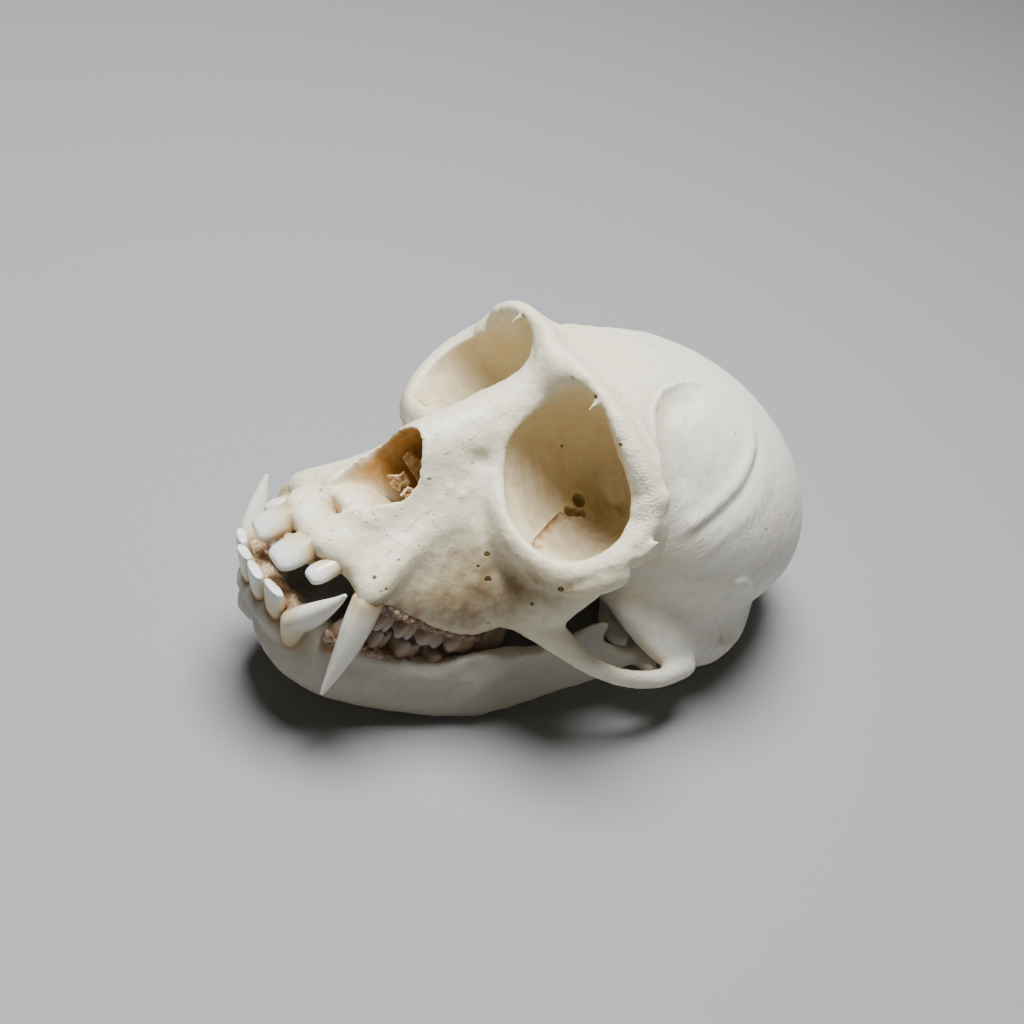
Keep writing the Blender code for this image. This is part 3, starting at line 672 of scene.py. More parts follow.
# %% [markdown]
# ## Melting the cranium
# The big forms are melted first with a coarse grain and rubbed smooth, so that the dome is even.
# Then the rims, the brow and the arches are added with a finer grain, which keeps them crisp. The
# hollows are cut, and a last melt rounds the cut edges the way bone edges are rounded.

# %% The cranium's clay
COARSE_GRAIN = 1.6
RIM_GRAIN = 0.5
GRAIN = 0.42
NOSE_FLOOR = ((54.0, 0.0, 13.4), (7.5, 5.2, 2.6))


def melted_cranium():
    soft = [egg("braincase", BRAINCASE, 3, 48), face(), *base_lumps(), *soft_face_lumps()]
    soft = joined("soft", soft)
    clay(soft, COARSE_GRAIN, 6)
    shaped(soft, "SUBSURF", levels=1, render_levels=1)
    bone = joined("cranium_bone", [soft, *face_lumps()])
    clay(bone, RIM_GRAIN, 10)
    both_orbits = both_sides(orbit_cup("orbit_cutter", 0.0, 9.0))
    under_brow = both_sides(ball("under_brow", *BROW_RECESS))
    carved(bone, [palate_cutter(), nose_cutter(), both_orbits, under_brow])
    bone = joined("cranium_bone", [bone, ball("nose_floor", *NOSE_FLOOR)])
    clay(bone, GRAIN, 3)
    return bone


cranium = melted_cranium()
print("cranium melted:", len(cranium.data.polygons), "faces")

# %% [markdown]
# ## Ridges, grooves and holes
# Muscles, seams and veins leave their marks on bone. They could be painted as bumps alone, but the
# larger ones change the outline and catch the light, so the points of the mesh are moved, as with a
# sculpting brush. A mark is a path of pixels of the photograph, dropped onto the left side of the
# bone through the camera and repeated on the right side, because both sides carry the same marks.

# %% Reading points and dropping a path on the bone


def read(layer, key):
    values = np.empty(len(layer) * 3, np.float32)
    layer.foreach_get(key, values)
    return values.reshape(-1, 3).astype(float)


def points_of(piece):
    return read(piece.data.vertices, "co")


def normals_of(piece):
    return read(piece.data.vertex_normals, "vector")


def put_back(piece, places):
    """Moves the points of the piece to these places."""
    piece.data.vertices.foreach_set("co", places.astype(np.float32).ravel())
    piece.data.update()


def to_left(vectors, places):
    """The vectors, with those of the right side brought over to the left."""
    turned = vectors.copy()
    turned[:, 1] = np.where(places[:, 1] < 0, -vectors[:, 1], vectors[:, 1])
    return turned


def tree_of(piece):
    mesh = piece.data
    return BVHTree.FromPolygons([v.co for v in mesh.vertices], [p.vertices[:] for p in mesh.polygons])


def dropped(tree, pixels, steps=4):
    """The path of pixels, laid on the surface that the camera sees there."""
    path = []
    for pixel in smooth_path(pixels, steps) if len(pixels) > 2 else pixels:
        place, _ = seen_at(tree, pixel)
        if place is not None:
            path.append(np.array(place))
    return path


# %% Brushes


def nearest(places, path):
    """For each place: its distance to a path, and the share of the way along it."""
    distance = np.full(len(places), 1e9)
    share = np.zeros(len(places))
    spans = len(path) - 1
    for number in range(spans):
        start, end = np.array(path[number]), np.array(path[number + 1])
        line = end - start
        t = np.clip((places - start) @ line / max(line @ line, 1e-9), 0.0, 1.0)
        length = np.linalg.norm(places - (start + t[:, None] * line), axis=1)
        closer = length < distance
        distance[closer] = length[closer]
        share[closer] = (number + t[closer]) / spans
    return distance, share


def bell(places, centre, width):
    """1 at the centre, falling softly to nothing two widths away."""
    distance = np.linalg.norm(places - np.array(centre), axis=1)
    return np.exp(-((distance / width) ** 2))


def move_along_normals(piece, lift):
    put_back(piece, points_of(piece) + normals_of(piece) * lift[:, None])


def stroked(piece, path, height, width, taper=0.15, mirror=True):
    """Raises a ridge along a path, or sinks a groove where the height is negative."""
    places = points_of(piece)
    test = to_left(places, places) if mirror else places
    distance, share = nearest(test, path)
    ends = np.clip(np.minimum(share, 1.0 - share) / taper, 0.0, 1.0)
    move_along_normals(piece, height * np.exp(-((distance / width) ** 2)) * (0.1 + 0.9 * ends))


def dabbed(piece, centre, height, width, mirror=True):
    """One dab of the brush: a bump, or a dent where the height is negative."""
    places = points_of(piece)
    test = to_left(places, places) if mirror else places
    move_along_normals(piece, height * bell(test, centre, width))


def pushed(piece, centre, shift, width):
    """Takes the clay round a point and moves it over."""
    places = points_of(piece)
    put_back(piece, places + bell(places, centre, width)[:, None] * np.array(shift))


def averager(piece):
    """A function that gives each point the mean of the numbers at the points joined to it."""
    size = len(piece.data.vertices)
    pairs = np.empty(len(piece.data.edges) * 2, np.int32)
    piece.data.edges.foreach_get("vertices", pairs)
    one, other = pairs.reshape(-1, 2).T
    count = np.maximum(np.bincount(pairs, minlength=size), 1)

    def mean(line):
        return (np.bincount(one, line[other], size) + np.bincount(other, line[one], size)) / count

    return mean


def rubbed_inside(piece, centre, width, rounds):
    """Rubs the clay round a point until the cuts run into each other, on both sides."""
    places = points_of(piece)
    share = bell(to_left(places, places), centre, width)
    mean = averager(piece)
    for _ in range(rounds):
        for axis in range(3):
            line = places[:, axis]
            places[:, axis] += share * 0.6 * (mean(line) - line)
    put_back(piece, places)


# %% A narrower right side
LEAN_IN = 1.4


def leaned_in(piece):
    """The right side of this animal's muzzle is a shade narrower than the left."""
    places = points_of(piece)
    ahead = np.clip((places[:, 0] - 42.0) / 12.0, 0.0, 1.0)
    aside = np.clip((-places[:, 1] - 4.0) / 8.0, 0.0, 1.0)
    places[:, 1] += LEAN_IN * ahead * aside
    put_back(piece, places)


# %% Rubbing the sockets, and two spurs on each rim
RUBBED_PLACES = (
    ((31.0, 10.0, 43.0), 7.0, 120),
    ((40.0, 10.5, 48.5), 4.6, 220),
    ((36.0, 26.0, 26.0), 3.0, 60),
)
for centre, width, rounds in RUBBED_PLACES:
    rubbed_inside(cranium, centre, width, rounds)
CHEEK_PUSHES = (
    ((20.5, 28.0, 31.0), (1.9, -1.4, 0.8), 4.6),
    ((23.5, 27.0, 29.0), (0.9, -1.1, 0.5), 3.0),
)
RIGHT_BROW_PUSH = ((42.5, -5.5, 49.5), (-1.7, 0.0, 0.0), 5.0)
SPURS = (((640, 557), (658, 542), 1.6), ((598, 400), (591, 409), 0.75))
SPUR_TIP = 0.3
for values in CHEEK_PUSHES:
    pushed(cranium, *values)


def spur(tree, base, tip, size):
    """A thin thorn from the surface seen at one pixel towards another pixel, at the same depth."""
    root, normal = seen_at(tree, base)
    over, _ = seen_at(tree, tip)
    depth = min((place - CAMERA_PLACE).dot(LOOK) for place in (root, over)) - SPUR_TIP
    aim = sight_line(tip)
    point = CAMERA_PLACE + aim * (depth / aim.dot(LOOK))
    root = root - normal * 0.6 * size
    middle = root.lerp(point, 0.6)
    knots = ((*root, size, size), (*middle, 0.65 * size, 0.6 * size), (*point, SPUR_TIP, SPUR_TIP))
    return both_sides(bar("spur", knots, up=(1.0, 0.0, 0.0)))


cranium_seen = tree_of(cranium)
cranium = joined("cranium_bone", [*[spur(cranium_seen, *values) for values in SPURS], cranium])
clay(cranium, GRAIN, 1)
leaned_in(cranium)
pushed(cranium, *RIGHT_BROW_PUSH)
print("spurs:", 2 * len(SPURS))

# %% An uneven surface
SWELL_WIDTH = 5.0
RIPPLE_WIDTH = 1.8


def uneven(piece, swell, ripple):
    """Bone is never quite even: wide soft swells with finer ripples on them."""
    places = points_of(piece)
    lift = []
    for place in places:
        wide = noise.noise(Vector(place) / SWELL_WIDTH)
        lift.append(swell * wide + ripple * noise.fractal(Vector(place) / RIPPLE_WIDTH, 0.7, 2.1, 3))
    forward = np.clip((places[:, 0] - 22.0) / 12.0, 0.0, 1.0)
    move_along_normals(piece, np.array(lift) * (0.45 + 0.55 * forward))


uneven(cranium, 0.08, 0.11)

# %% Marks on the cranium
CREST_FOOT = ((661.5, 476), (659, 453), (655.5, 433), (654.8, 416))
CREST_HEAD = ((656, 405.6), (662, 393), (673, 386), (685, 382.6), (697, 384), (709.6, 390))
TEMPORAL_CREST = CREST_FOOT + CREST_HEAD
FOSSA_FRONT = ((690, 505), (687, 480), (681, 455), (674, 434), (671, 418), (677, 404), (692, 399), (706, 404))
MUSCLE_RIDGE = ((752, 424), (753, 445), (748, 463), (738, 482), (724, 497), (706, 514), (692, 526), (677, 540))
MUSCLE_STEP = ((759, 428), (760, 448), (756, 466), (747, 488), (730, 507), (714, 521), (697, 532), (684, 543))
INNER_HOLLOW = ((738, 440), (734, 462), (722, 482), (704, 500), (684, 514))
OUTER_RIDGE = ((772, 466), (762, 497), (744, 519), (724, 537), (702, 553))
FOSSA_GROOVE = ((689.7, 398), (690.5, 416), (685, 431.6))
CANINE_ROOT = ((372, 600), (398, 570), (422, 546), (447, 524), (470, 508))
CANINE_HOLLOW = ((440, 560), (470, 565), (505, 575), (535, 592))
EYE_MARGIN = ((511, 413), (503, 446), (503, 506), (506, 518), (522, 543), (539, 556))
RIM_GROOVE = ((562, 588), (574, 586), (586, 581), (602, 573), (620, 569))
WALL_EDGE = ((618, 452), (616, 470), (614, 490), (616, 508), (622, 520))
CHEEK_SEAM = ((629, 547), (643, 550), (653, 545))
NASAL_SILL = ((347, 514), (366, 519), (389, 521))
NUCHAL_ROUGH = ((733, 585), (742, 581), (753, 590))
NUCHAL_DENT = ((727, 594), (738, 598), (748, 599))
NUCHAL_KNOB = ((720, 643), (731, 646), (742, 645))
SCRATCH = ((689.5, 575.5), (700, 577.5), (711.5, 577.4))
STROKES = (
    (TEMPORAL_CREST, 0.4, 0.65),
    (FOSSA_FRONT, -1.1, 2.6),
    (MUSCLE_RIDGE, 0.55, 1.5),
    (MUSCLE_STEP, -0.4, 1.0),
    (INNER_HOLLOW, -0.3, 3.5),
    (OUTER_RIDGE, 0.22, 1.5),
    (FOSSA_GROOVE, -0.2, 0.7),
    (CANINE_ROOT, 0.25, 2.6),
    (CANINE_HOLLOW, -0.6, 5.0),
    (EYE_MARGIN, 0.3, 0.9),
    (RIM_GROOVE, -0.25, 0.9),
    (WALL_EDGE, 0.3, 0.6),
    (CHEEK_SEAM, -0.12, 0.5),
    (NASAL_SILL, 0.3, 1.2),
    (NUCHAL_ROUGH, 0.6, 0.9),
    (NUCHAL_DENT, -0.5, 1.0),
    (NUCHAL_KNOB, 0.5, 1.2),
)
DABS = (
    ((450, 488), 0.3, 0.9),
    ((462, 495), 0.3, 0.8),
    ((472, 487), 0.25, 0.8),
    ((481, 460), -0.8, 1.9),
    ((514, 587), -0.4, 2.4),
    ((697.5, 664.7), 0.4, 0.7),
)

bone_seen = tree_of(cranium)
for pixels, height, width in STROKES:
    stroked(cranium, dropped(bone_seen, pixels), height, width)
for pixel, height, width in DABS:
    dabbed(cranium, seen_at(bone_seen, pixel)[0], height, width)
stroked(cranium, dropped(bone_seen, SCRATCH), -0.12, 0.5, mirror=False)
print("marks on the cranium:", len(STROKES) + len(DABS) + 1)

# %% [markdown]
# ## Holes for nerves and veins
# Nerves and blood vessels pass through bone in round or slanted holes. Each could be a dark spot of
# paint, but the larger ones show their depth, so they are bored: a small ball is put on the bone
# where the photograph shows the hole, and taken out of it. The hollow of the braincase and the great
# hole for the spinal cord are taken out in the same way.

# %% Boring the holes
HOLES = (
    ((579, 500), 1.45, 3.6),
    ((569, 511), 1.1, 2.6),
    ((576, 512), 1.0, 2.4),
    ((583, 513), 0.8, 2.0),
    ((537, 545), 0.8, 1.6),
    ((562, 445), 0.35, 0.7),
    ((621, 444), 0.35, 0.7),
    ((596, 396), 0.4, 1.2),
    ((487, 554), 0.55, 0.9),
    ((488, 579), 0.6, 0.8),
    ((478, 566), 0.3, 0.7),
    ((561, 589), 0.55, 1.0),
    ((374, 577), 0.35, 0.9),
    ((386, 589), 0.3, 0.7),
    ((532, 604), 0.35, 0.8),
)
FISSURE = ((535, 547), (539, 540), (546, 532), (553, 524), (562, 515))


def bored(tree, pixel, radius, depth):
    """A ball on the surface, as long as the hole is deep."""
    place, normal = seen_at(tree, pixel)
    aim = (sight_line(pixel) - normal).normalized()
    turn = aim.to_track_quat("Z", "Y").to_euler()
    angles = [math.degrees(angle) for angle in turn]
    return both_sides(ball("bore", place, (radius, radius, depth), angles))


bone_seen = tree_of(cranium)
cutters = [bored(bone_seen, pixel, radius, depth) for pixel, radius, depth in HOLES]
slit = [(*point, 0.8, 0.8) for point in dropped(bone_seen, FISSURE)]
cutters.append(both_sides(bar("fissure", slit, up=(1, 0.6, 0.3), steps=2, ring=12)))
cutters += [egg("brain_cutter", BRAIN, 3, 40), foramen_cutter()]
carved(cranium, cutters)
print("holes bored:", 2 * len(HOLES) + 2)

# %% [markdown]
# ## Fewer triangles
# The clay is even all over, also where the bone is plain. A Decimate modifier merges points where
# the surface hardly bends, which keeps the marks and leaves a mesh that other programs can open.

# %% Thinning out
PIECE_TRIANGLES = 185000


def thinned(piece, most=PIECE_TRIANGLES):
    shaped(piece, "TRIANGULATE")
    count = len(piece.data.polygons)
    if count > most:
        shaped(piece, "DECIMATE", ratio=most / count)
    return len(piece.data.polygons)


print("cranium triangles:", thinned(cranium))

# %% [markdown]
# ## Lower jaw
# The lower jaw is two curved bars that meet at the chin, with an upright plate at the back of each.
# The plate carries a hooked blade and the rounded joint. A ridge runs slanting down the outer side,
# and behind it the bone is sunken where the jaw muscle was fixed.

# %% Sections of the jaw
JAW_BODY = (
    (59.4, 2.0, -9.2, 5.5, 3.2),
    (58.0, 6.0, -9.8, 6.1, 3.4),
    (53.5, 9.4, -10.7, 6.7, 3.2),
    (46.0, 12.0, -10.7, 6.8, 3.1),
    (38.0, 14.0, -9.6, 6.4, 3.1),
    (30.0, 16.2, -7.8, 5.9, 3.0),
    (22.0, 18.8, -4.9, 5.4, 2.2),
)
CHIN = (
    (61.2, 0.0, -7.0, 3.0, 5.8),
    (56.4, 0.0, -11.0, 2.9, 5.6),
    (51.8, 0.0, -14.0, 2.5, 5.2),
    (48.2, 0.0, -15.8, 1.9, 4.4),
)
CHIN_WALL = (
    (61.8, -8.0, -8.4, 2.2, 1.9),
    (63.7, -4.0, -8.0, 2.5, 1.6),
    (64.4, 0.0, -7.8, 2.5, 1.6),
    (63.7, 4.0, -8.0, 2.5, 1.6),
    (61.8, 8.0, -8.4, 2.2, 1.9),
)
TOOTH_WALL = (
    (53.0, 11.2, -7.0, 2.2, 2.0),
    (46.0, 13.2, -6.2, 2.4, 2.5),
    (40.0, 15.0, -5.6, 2.5, 2.7),
    (35.0, 16.8, -4.0, 2.6, 2.6),
    (30.0, 18.6, -1.6, 2.6, 2.0),
)
FRONT_EDGE = ((37.0, -6.0), (35.0, -1.2), (31.8, 2.6), (27.6, 5.6), (22.6, 8.8), (19.6, 13.0))
BLADE_AND_NOTCH = ((17.5, 17.5), (15.2, 19.5), (13.4, 18.4), (12.4, 16.0), (10.6, 14.8), (7.0, 14.8))
REAR_EDGE = ((2.5, 15.6), (0.8, 14.2), (3.4, 10.0), (6.6, 5.6), (10.8, 1.2), (15.2, -3.8))
LOWER_EDGE = ((19.8, -7.5), (25.0, -9.0))
RAMUS = FRONT_EDGE + BLADE_AND_NOTCH + REAR_EDGE + LOWER_EDGE
PLATE_HALF = 1.2
JAW_GRAIN = 0.7
JAW_FINE_GRAIN = 0.36


def ramus():
    """The upright plate, leaning outwards as it rises."""
    inner, outer = [], []
    for x, z in smooth_path(RAMUS, 4, closed=True):
        y = 20.2 + 0.15 * (z + 8.0) + 0.08 * (18.0 - x) - 0.12 * max(x - 20.0, 0.0)
        half = PLATE_HALF - 0.08 * max(z - 8.0, 0.0) * (x > 11.0)
        inner.append((x, y - half, z))
        outer.append((x, y + half, z))
    return both_sides(sleeve("ramus", [inner, outer]))


def melted_jaw():
    lumps = [
        both_sides(bar("jaw_body", JAW_BODY)),
        both_sides(bar("tooth_wall", TOOTH_WALL)),
        bar("chin", CHIN, up=(0.6, 0.0, 1.0)),
        bar("chin_wall", CHIN_WALL),
        ramus(),
        both_sides(ball("jaw_condyle", (1.6, 25.6, 15.0), (2.3, 5.0, 1.9), (0, 0, -8))),
    ]
    bone = joined("jaw_bone", lumps)
    clay(bone, JAW_GRAIN, 5)
    return clay(bone, JAW_FINE_GRAIN, 7)


jaw = melted_jaw()
print("jaw melted:", len(jaw.data.polygons), "faces")

# %% Marks on the jaw
JAW_RIDGE = ((544, 640), (524, 652), (505, 665), (483, 681), (462, 696), (444, 706))
MUSCLE_HOLLOW = ((580, 664), (552, 676), (524, 690), (498, 704))
CANINE_BULGE = (57.0, 12.6, -9.0)
TOOTH_BULGES = ((392, 664), (418, 676), (446, 672), (470, 662))
RIGHT_CORNER = ((60.0, -11.5, -8.0), (-0.6, 1.6, 0.0), 4.0)
CHIN_RUB = ((61.0, 9.0, -9.0), 4.0, 80)
jaw_seen = tree_of(jaw)
pushed(jaw, *RIGHT_CORNER)
stroked(jaw, dropped(jaw_seen, JAW_RIDGE), 1.1, 3.0, taper=0.35)
stroked(jaw, dropped(jaw_seen, MUSCLE_HOLLOW), -0.45, 4.2, taper=0.3)
rubbed_inside(jaw, *CHIN_RUB)
stroked(jaw, dropped(jaw_seen, TOOTH_BULGES), 0.25, 2.0)
dabbed(jaw, CANINE_BULGE, 0.4, 2.6, mirror=False)
uneven(jaw, 0.14, 0.09)
print("jaw triangles:", thinned(jaw))

# %% [markdown]
# ## Teeth
# An adult has thirty-two teeth. The front ones are blades and cones with one root, so each is a
# sleeve of ovals from the root to the tip, whose widths follow a smooth curve. The cheek teeth are
# blocks with cusps, so each is a sleeve that goes on over the top, ring inside ring, at the height
# that the cusps give. Wear ground a flat facet on each lower incisor, and rounded all incisors. The
# left teeth are modelled, and the right ones are mirrored copies.

# %% Blades and cones
TOOTH_RING = 28
ROOT_SHARES = (0.0, 0.35, 0.7)


def flat_oval(centre, high, side, square):
    """A boxy oval, like the section of a tooth."""
    return [
        centre + side * boxy(math.cos(turn), square) + high * boxy(math.sin(turn), square)
        for turn in turns(TOOTH_RING)
    ]


def blade(name, root, neck, tip, across, sizes, square=0.8, groove=0.0):
    """A tooth with one root. Sizes are share of the crown, half width, half depth and bow."""
    root, neck, tip = Vector(root), Vector(neck), Vector(tip)
    rise = (tip - neck).normalized()
    depth = rise.cross(Vector(across)).normalized()
    width = depth.cross(rise)
    full = [tuple(size) + (0.0,) * (4 - len(size)) for size in sizes]
    rings = []
    for share in ROOT_SHARES:
        thick, broad = depth * full[0][2], width * full[0][1]
        shrink = 0.6 + 0.4 * share
        rings.append(flat_oval(root.lerp(neck, share), thick * shrink, broad * shrink, square))
    for share, wide, deep, bow in [map(float, size) for size in smooth_path(full, 6)]:
        middle = neck.lerp(tip, share) + depth * bow
        rings.append(flat_oval(middle, depth * deep, width * wide, square))
    _, wide, deep, bow = full[-1]
    blunt = min(wide, deep)
    for turn in (30, 60, 80):
        lift, shrink = math.sin(math.radians(turn)), math.cos(math.radians(turn))
        middle = tip + depth * bow + rise * (blunt * 0.5 * lift)
        inner = wide - blunt * (1.0 - shrink)
        rings.append(flat_oval(middle, depth * deep * shrink, width * inner, square))
    if groove:
        for ring in rings[len(ROOT_SHARES) :]:
            middle = sum(ring, Vector()) / len(ring)
            for index in (0, 1, len(ring) - 1):
                pull = groove * (1.0 if index == 0 else 0.5)
                ring[index] = ring[index].lerp(middle, pull)
    return shaped(sleeve(name, rings), "SUBSURF", levels=1, render_levels=1)


# %% Cheek teeth
CUSPS = ((0.5, 0.56), (0.5, -0.56), (-0.5, 0.56), (-0.5, -0.56))


def cusp_height(u, v):
    """How high the worn chewing face stands at a place of the crown, from 0 to 1."""
    high = 0.0
    for cu, cv in CUSPS:
        high = max(high, math.exp(-((u - cu) ** 2 + (v - cv) ** 2) / 0.16))
    for cu in (0.5, -0.5):
        high = max(high, 0.62 * math.exp(-((u - cu) ** 2) / 0.05) * (1.0 - 0.3 * abs(v)))
    return min(high, 0.9) / 0.9


def grinder(name, middle, length, breadth, neck, bite, turn=0.0, cusp=0.8):
    """A cheek tooth: a stub of root, a bulging crown, and cusps round low basins."""
    sense = 1.0 if bite > neck else -1.0
    angle = math.radians(turn)
    along = Vector((math.cos(angle), math.sin(angle), 0.0))
    over = Vector((-math.sin(angle), math.cos(angle), 0.0))
    base = Vector((middle[0], middle[1], 0.0))
    rings = []

    def ring(swell, height_of):
        points = []
        for spin in turns(32):
            u, v = boxy(math.cos(spin), 0.62), boxy(math.sin(spin), 0.62)
            pinch = 1.0 - 0.09 * math.exp(-((u / 0.22) ** 2))
            place = base + along * (u * swell * length / 2) + over * (v * pinch * swell * breadth / 2)
            place.z = height_of(u * swell, v * swell)
            points.append(place)
        rings.append(points)

    for z, swell in ((-2.6, 0.62), (-1.2, 0.74), (0.0, 0.82), (0.9, 0.92), (1.9, 0.97)):
        ring(swell * 0.98, lambda u, v, z=z: neck + sense * z)
    shoulder = bite - sense * cusp * 1.1
    ring(0.95, lambda u, v: shoulder - sense * 0.35)
    for swell in (0.86, 0.76, 0.64, 0.5, 0.36, 0.22, 0.08):
        low = shoulder - sense * 0.25 * (1.0 - swell)
        ring(swell, lambda u, v, low=low: low + (bite - low) * cusp_height(u, v))
    return shaped(sleeve(name, rings), "SUBSURF", levels=1, render_levels=1)


# %% The eight upper teeth of one side
FRONT = (0.0, 1.0, 0.0)
SIDE = (1.0, 0.0, 0.0)
UPPER_TEETH = (
    (
        blade,
        "upper_incisor_1",
        (59.8, 3.2, 11.0),
        (62.4, 3.5, 8.0),
        (68.3, 4.0, 1.6),
        FRONT,
        ((0.0, 2.2, 2.2), (0.3, 2.7, 2.3), (0.65, 3.15, 2.0), (0.88, 3.1, 1.5), (1.0, 2.6, 1.1)),
        0.94,
    ),
    (
        blade,
        "upper_incisor_2",
        (57.2, 8.0, 9.5),
        (60.6, 8.6, 7.2),
        (65.2, 9.4, 3.4),
        (-0.45, 1.0, 0.0),
        ((0.0, 1.45, 1.5), (0.4, 1.8, 1.6), (0.8, 1.9, 1.3), (1.0, 1.5, 0.9)),
        0.94,
    ),
    (
        blade,
        "upper_canine",
        (55.2, 13.2, 9.5),
        (57.0, 15.0, 5.4),
        (55.3, 17.8, -12.6),
        SIDE,
        (
            (0.0, 2.85, 2.35),
            (0.25, 2.7, 2.15, -0.3),
            (0.5, 2.15, 1.7, -0.5),
            (0.75, 1.35, 1.1, -0.35),
            (1.0, 0.35, 0.32),
        ),
        0.95,
        0.2,
    ),
    (grinder, "upper_premolar_3", (51.2, 14.0), 4.4, 4.9, 4.6, 0.35, 8.0, 1.3),
    (grinder, "upper_premolar_4", (46.3, 14.5), 4.6, 5.3, 4.6, 0.35, 4.0, 1.1),
    (grinder, "upper_molar_1", (40.4, 14.8), 6.3, 5.9, 4.6, 0.35),
    (grinder, "upper_molar_2", (33.4, 14.9), 6.8, 6.1, 5.0, 0.45, -2.0),
    (grinder, "upper_molar_3", (26.6, 14.6), 6.1, 5.5, 5.6, 0.85, -5.0),
)

# %% The eight lower teeth of one side
LOWER_TEETH = (
    (
        blade,
        "lower_incisor_1",
        (60.4, 1.6, -9.8),
        (63.6, 1.9, -7.2),
        (69.6, 2.3, -1.9),
        FRONT,
        ((0.0, 1.35, 1.3), (0.35, 1.75, 1.5), (0.8, 2.15, 1.1), (1.0, 2.2, 0.75)),
    ),
    (
        blade,
        "lower_incisor_2",
        (59.2, 5.3, -10.0),
        (62.4, 5.8, -7.4),
        (68.1, 6.7, -1.6),
        (-0.3, 1.0, 0.0),
        ((0.0, 1.4, 1.3), (0.35, 1.9, 1.55), (0.8, 2.3, 1.1), (1.0, 2.15, 0.75)),
    ),
    (
        blade,
        "lower_canine",
        (59.0, 8.2, -10.6),
        (62.0, 9.4, -5.6),
        (62.9, 15.9, 5.7),
        SIDE,
        (
            (0.0, 2.95, 2.15),
            (0.3, 2.6, 2.0, 0.3),
            (0.6, 1.75, 1.45, 0.4),
            (0.85, 0.9, 0.8, 0.3),
            (1.0, 0.35, 0.32),
        ),
        0.95,
    ),
    (
        blade,
        "lower_premolar_3",
        (53.0, 10.4, -8.8),
        (53.6, 11.0, -5.4),
        (52.2, 11.8, -0.1),
        (1.0, 0.4, 0.0),
        ((0.0, 3.1, 1.75), (0.4, 2.95, 1.85), (0.75, 2.0, 1.5), (1.0, 0.7, 0.5)),
    ),
    (grinder, "lower_premolar_4", (47.6, 12.6), 4.7, 4.1, -4.8, -0.35, 12.0, 1.1),
    (grinder, "lower_molar_1", (41.8, 13.6), 6.1, 4.7, -4.6, -0.35, 10.0),
    (grinder, "lower_molar_2", (35.0, 14.9), 6.7, 5.1, -4.2, -0.35, 11.0),
    (grinder, "lower_molar_3", (27.6, 16.4), 7.3, 4.9, -3.4, -0.25, 12.0),
)
FACET = (0.45, 0.1, 0.9)
WORN_AT = {"lower_incisor_1": (69.7, 2.3, -2.1), "lower_incisor_2": (68.2, 6.7, -1.8)}
ENAMEL_GRAIN = 0.22
INCISOR_RUBS = {"upper": 14, "lower": 6}

# %% Left and right teeth


def mirrored_copy(piece, name):
    """A copy on the other side of the skull, with its own mesh and its faces pointing out."""
    only(piece)
    bpy.ops.object.duplicate(linked=False)
    copy = bpy.context.object
    copy.name = name
    bpy.ops.transform.resize(value=(1, -1, 1), center_override=(0, 0, 0))
    bpy.ops.object.transform_apply(location=True, rotation=True, scale=True)
    bpy.ops.object.mode_set(mode="EDIT")
    bpy.ops.mesh.select_all(action="SELECT")
    bpy.ops.mesh.normals_make_consistent(inside=False)
    bpy.ops.object.mode_set(mode="OBJECT")
    return copy


left_teeth = {name: kind(name, *values) for kind, name, *values in UPPER_TEETH + LOWER_TEETH}
teeth = {}
for tooth_name, tooth in left_teeth.items():
    jaw_side = tooth_name[:5]
    if tooth_name in WORN_AT:
        cut_flat(tooth, WORN_AT[tooth_name], FACET, clear_outer=True)
    if "incisor" in tooth_name:
        clay(tooth, ENAMEL_GRAIN, INCISOR_RUBS[jaw_side])
    tooth.name = "left_" + tooth_name
    right_tooth = mirrored_copy(tooth, "right_" + tooth_name)
    if jaw_side == "upper":
        leaned_in(right_tooth)
    else:
        pushed(right_tooth, *RIGHT_CORNER)
    teeth[tooth_name + "_left"] = tooth
    teeth[tooth_name + "_right"] = right_tooth
print("teeth:", len(teeth))

# %% [markdown]
# ## Shells in the nose and dried gum
# Inside the nose stand thin curled shells of bone, with a lace of broken struts before them. Between
# the front teeth sits a brown crust of dried gum, and a darker rest of tissue runs along the cheek
# teeth, which the cleaning left behind. All are bars of clay whose points are pushed in and out by a
# noise, because their real surface is crumbly.

# %% Crumbly pieces
NOSE_SHELL = ((50.5, 4.2, 23.4, 1.0, 0.25), (46.0, 3.6, 21.6, 1.5, 0.3), (41.5, 3.4, 19.6, 1.6, 0.3))
LACE_KNOTS = (
    (52.6, 2.6, 19.2),
    (51.4, 1.6, 20.4),
    (49.8, 2.8, 20.6),
    (48.4, 1.8, 19.6),
    (47.6, 2.9, 18.4),
    (49.2, 1.8, 17.8),
    (50.8, 2.9, 17.9),
    (51.2, 2.2, 19.2),
    (49.6, 2.4, 19.0),
)
LACE_HALF = 0.28
LOWER_GUM = (
    (61.5, -9.0, -4.2, 1.3, 1.6),
    (63.6, -5.0, -3.6, 1.3, 1.7),
    (64.6, -1.0, -3.3, 1.3, 1.8),
    (64.5, 2.0, -3.3, 1.3, 1.8),
    (63.6, 5.0, -3.6, 1.3, 1.7),
    (61.5, 9.0, -4.2, 1.3, 1.6),
)
UPPER_GUM = (
    (61.5, -6.5, 4.6, 1.5, 1.5),
    (64.0, -2.2, 3.2, 1.5, 1.5),
    (64.4, -0.3, 3.0, 1.7, 1.6),
    (64.0, 2.2, 3.4, 1.4, 1.5),
    (61.5, 6.5, 5.0, 1.4, 1.5),
)


def crumbly(piece, height, grain):
    """Pushes the points in and out by a noise whose lumps are as wide as the grain."""
    lift = [noise.fractal(Vector(place) / grain, 0.8, 2.0, 4) for place in points_of(piece)]
    move_along_normals(piece, height * np.array(lift))


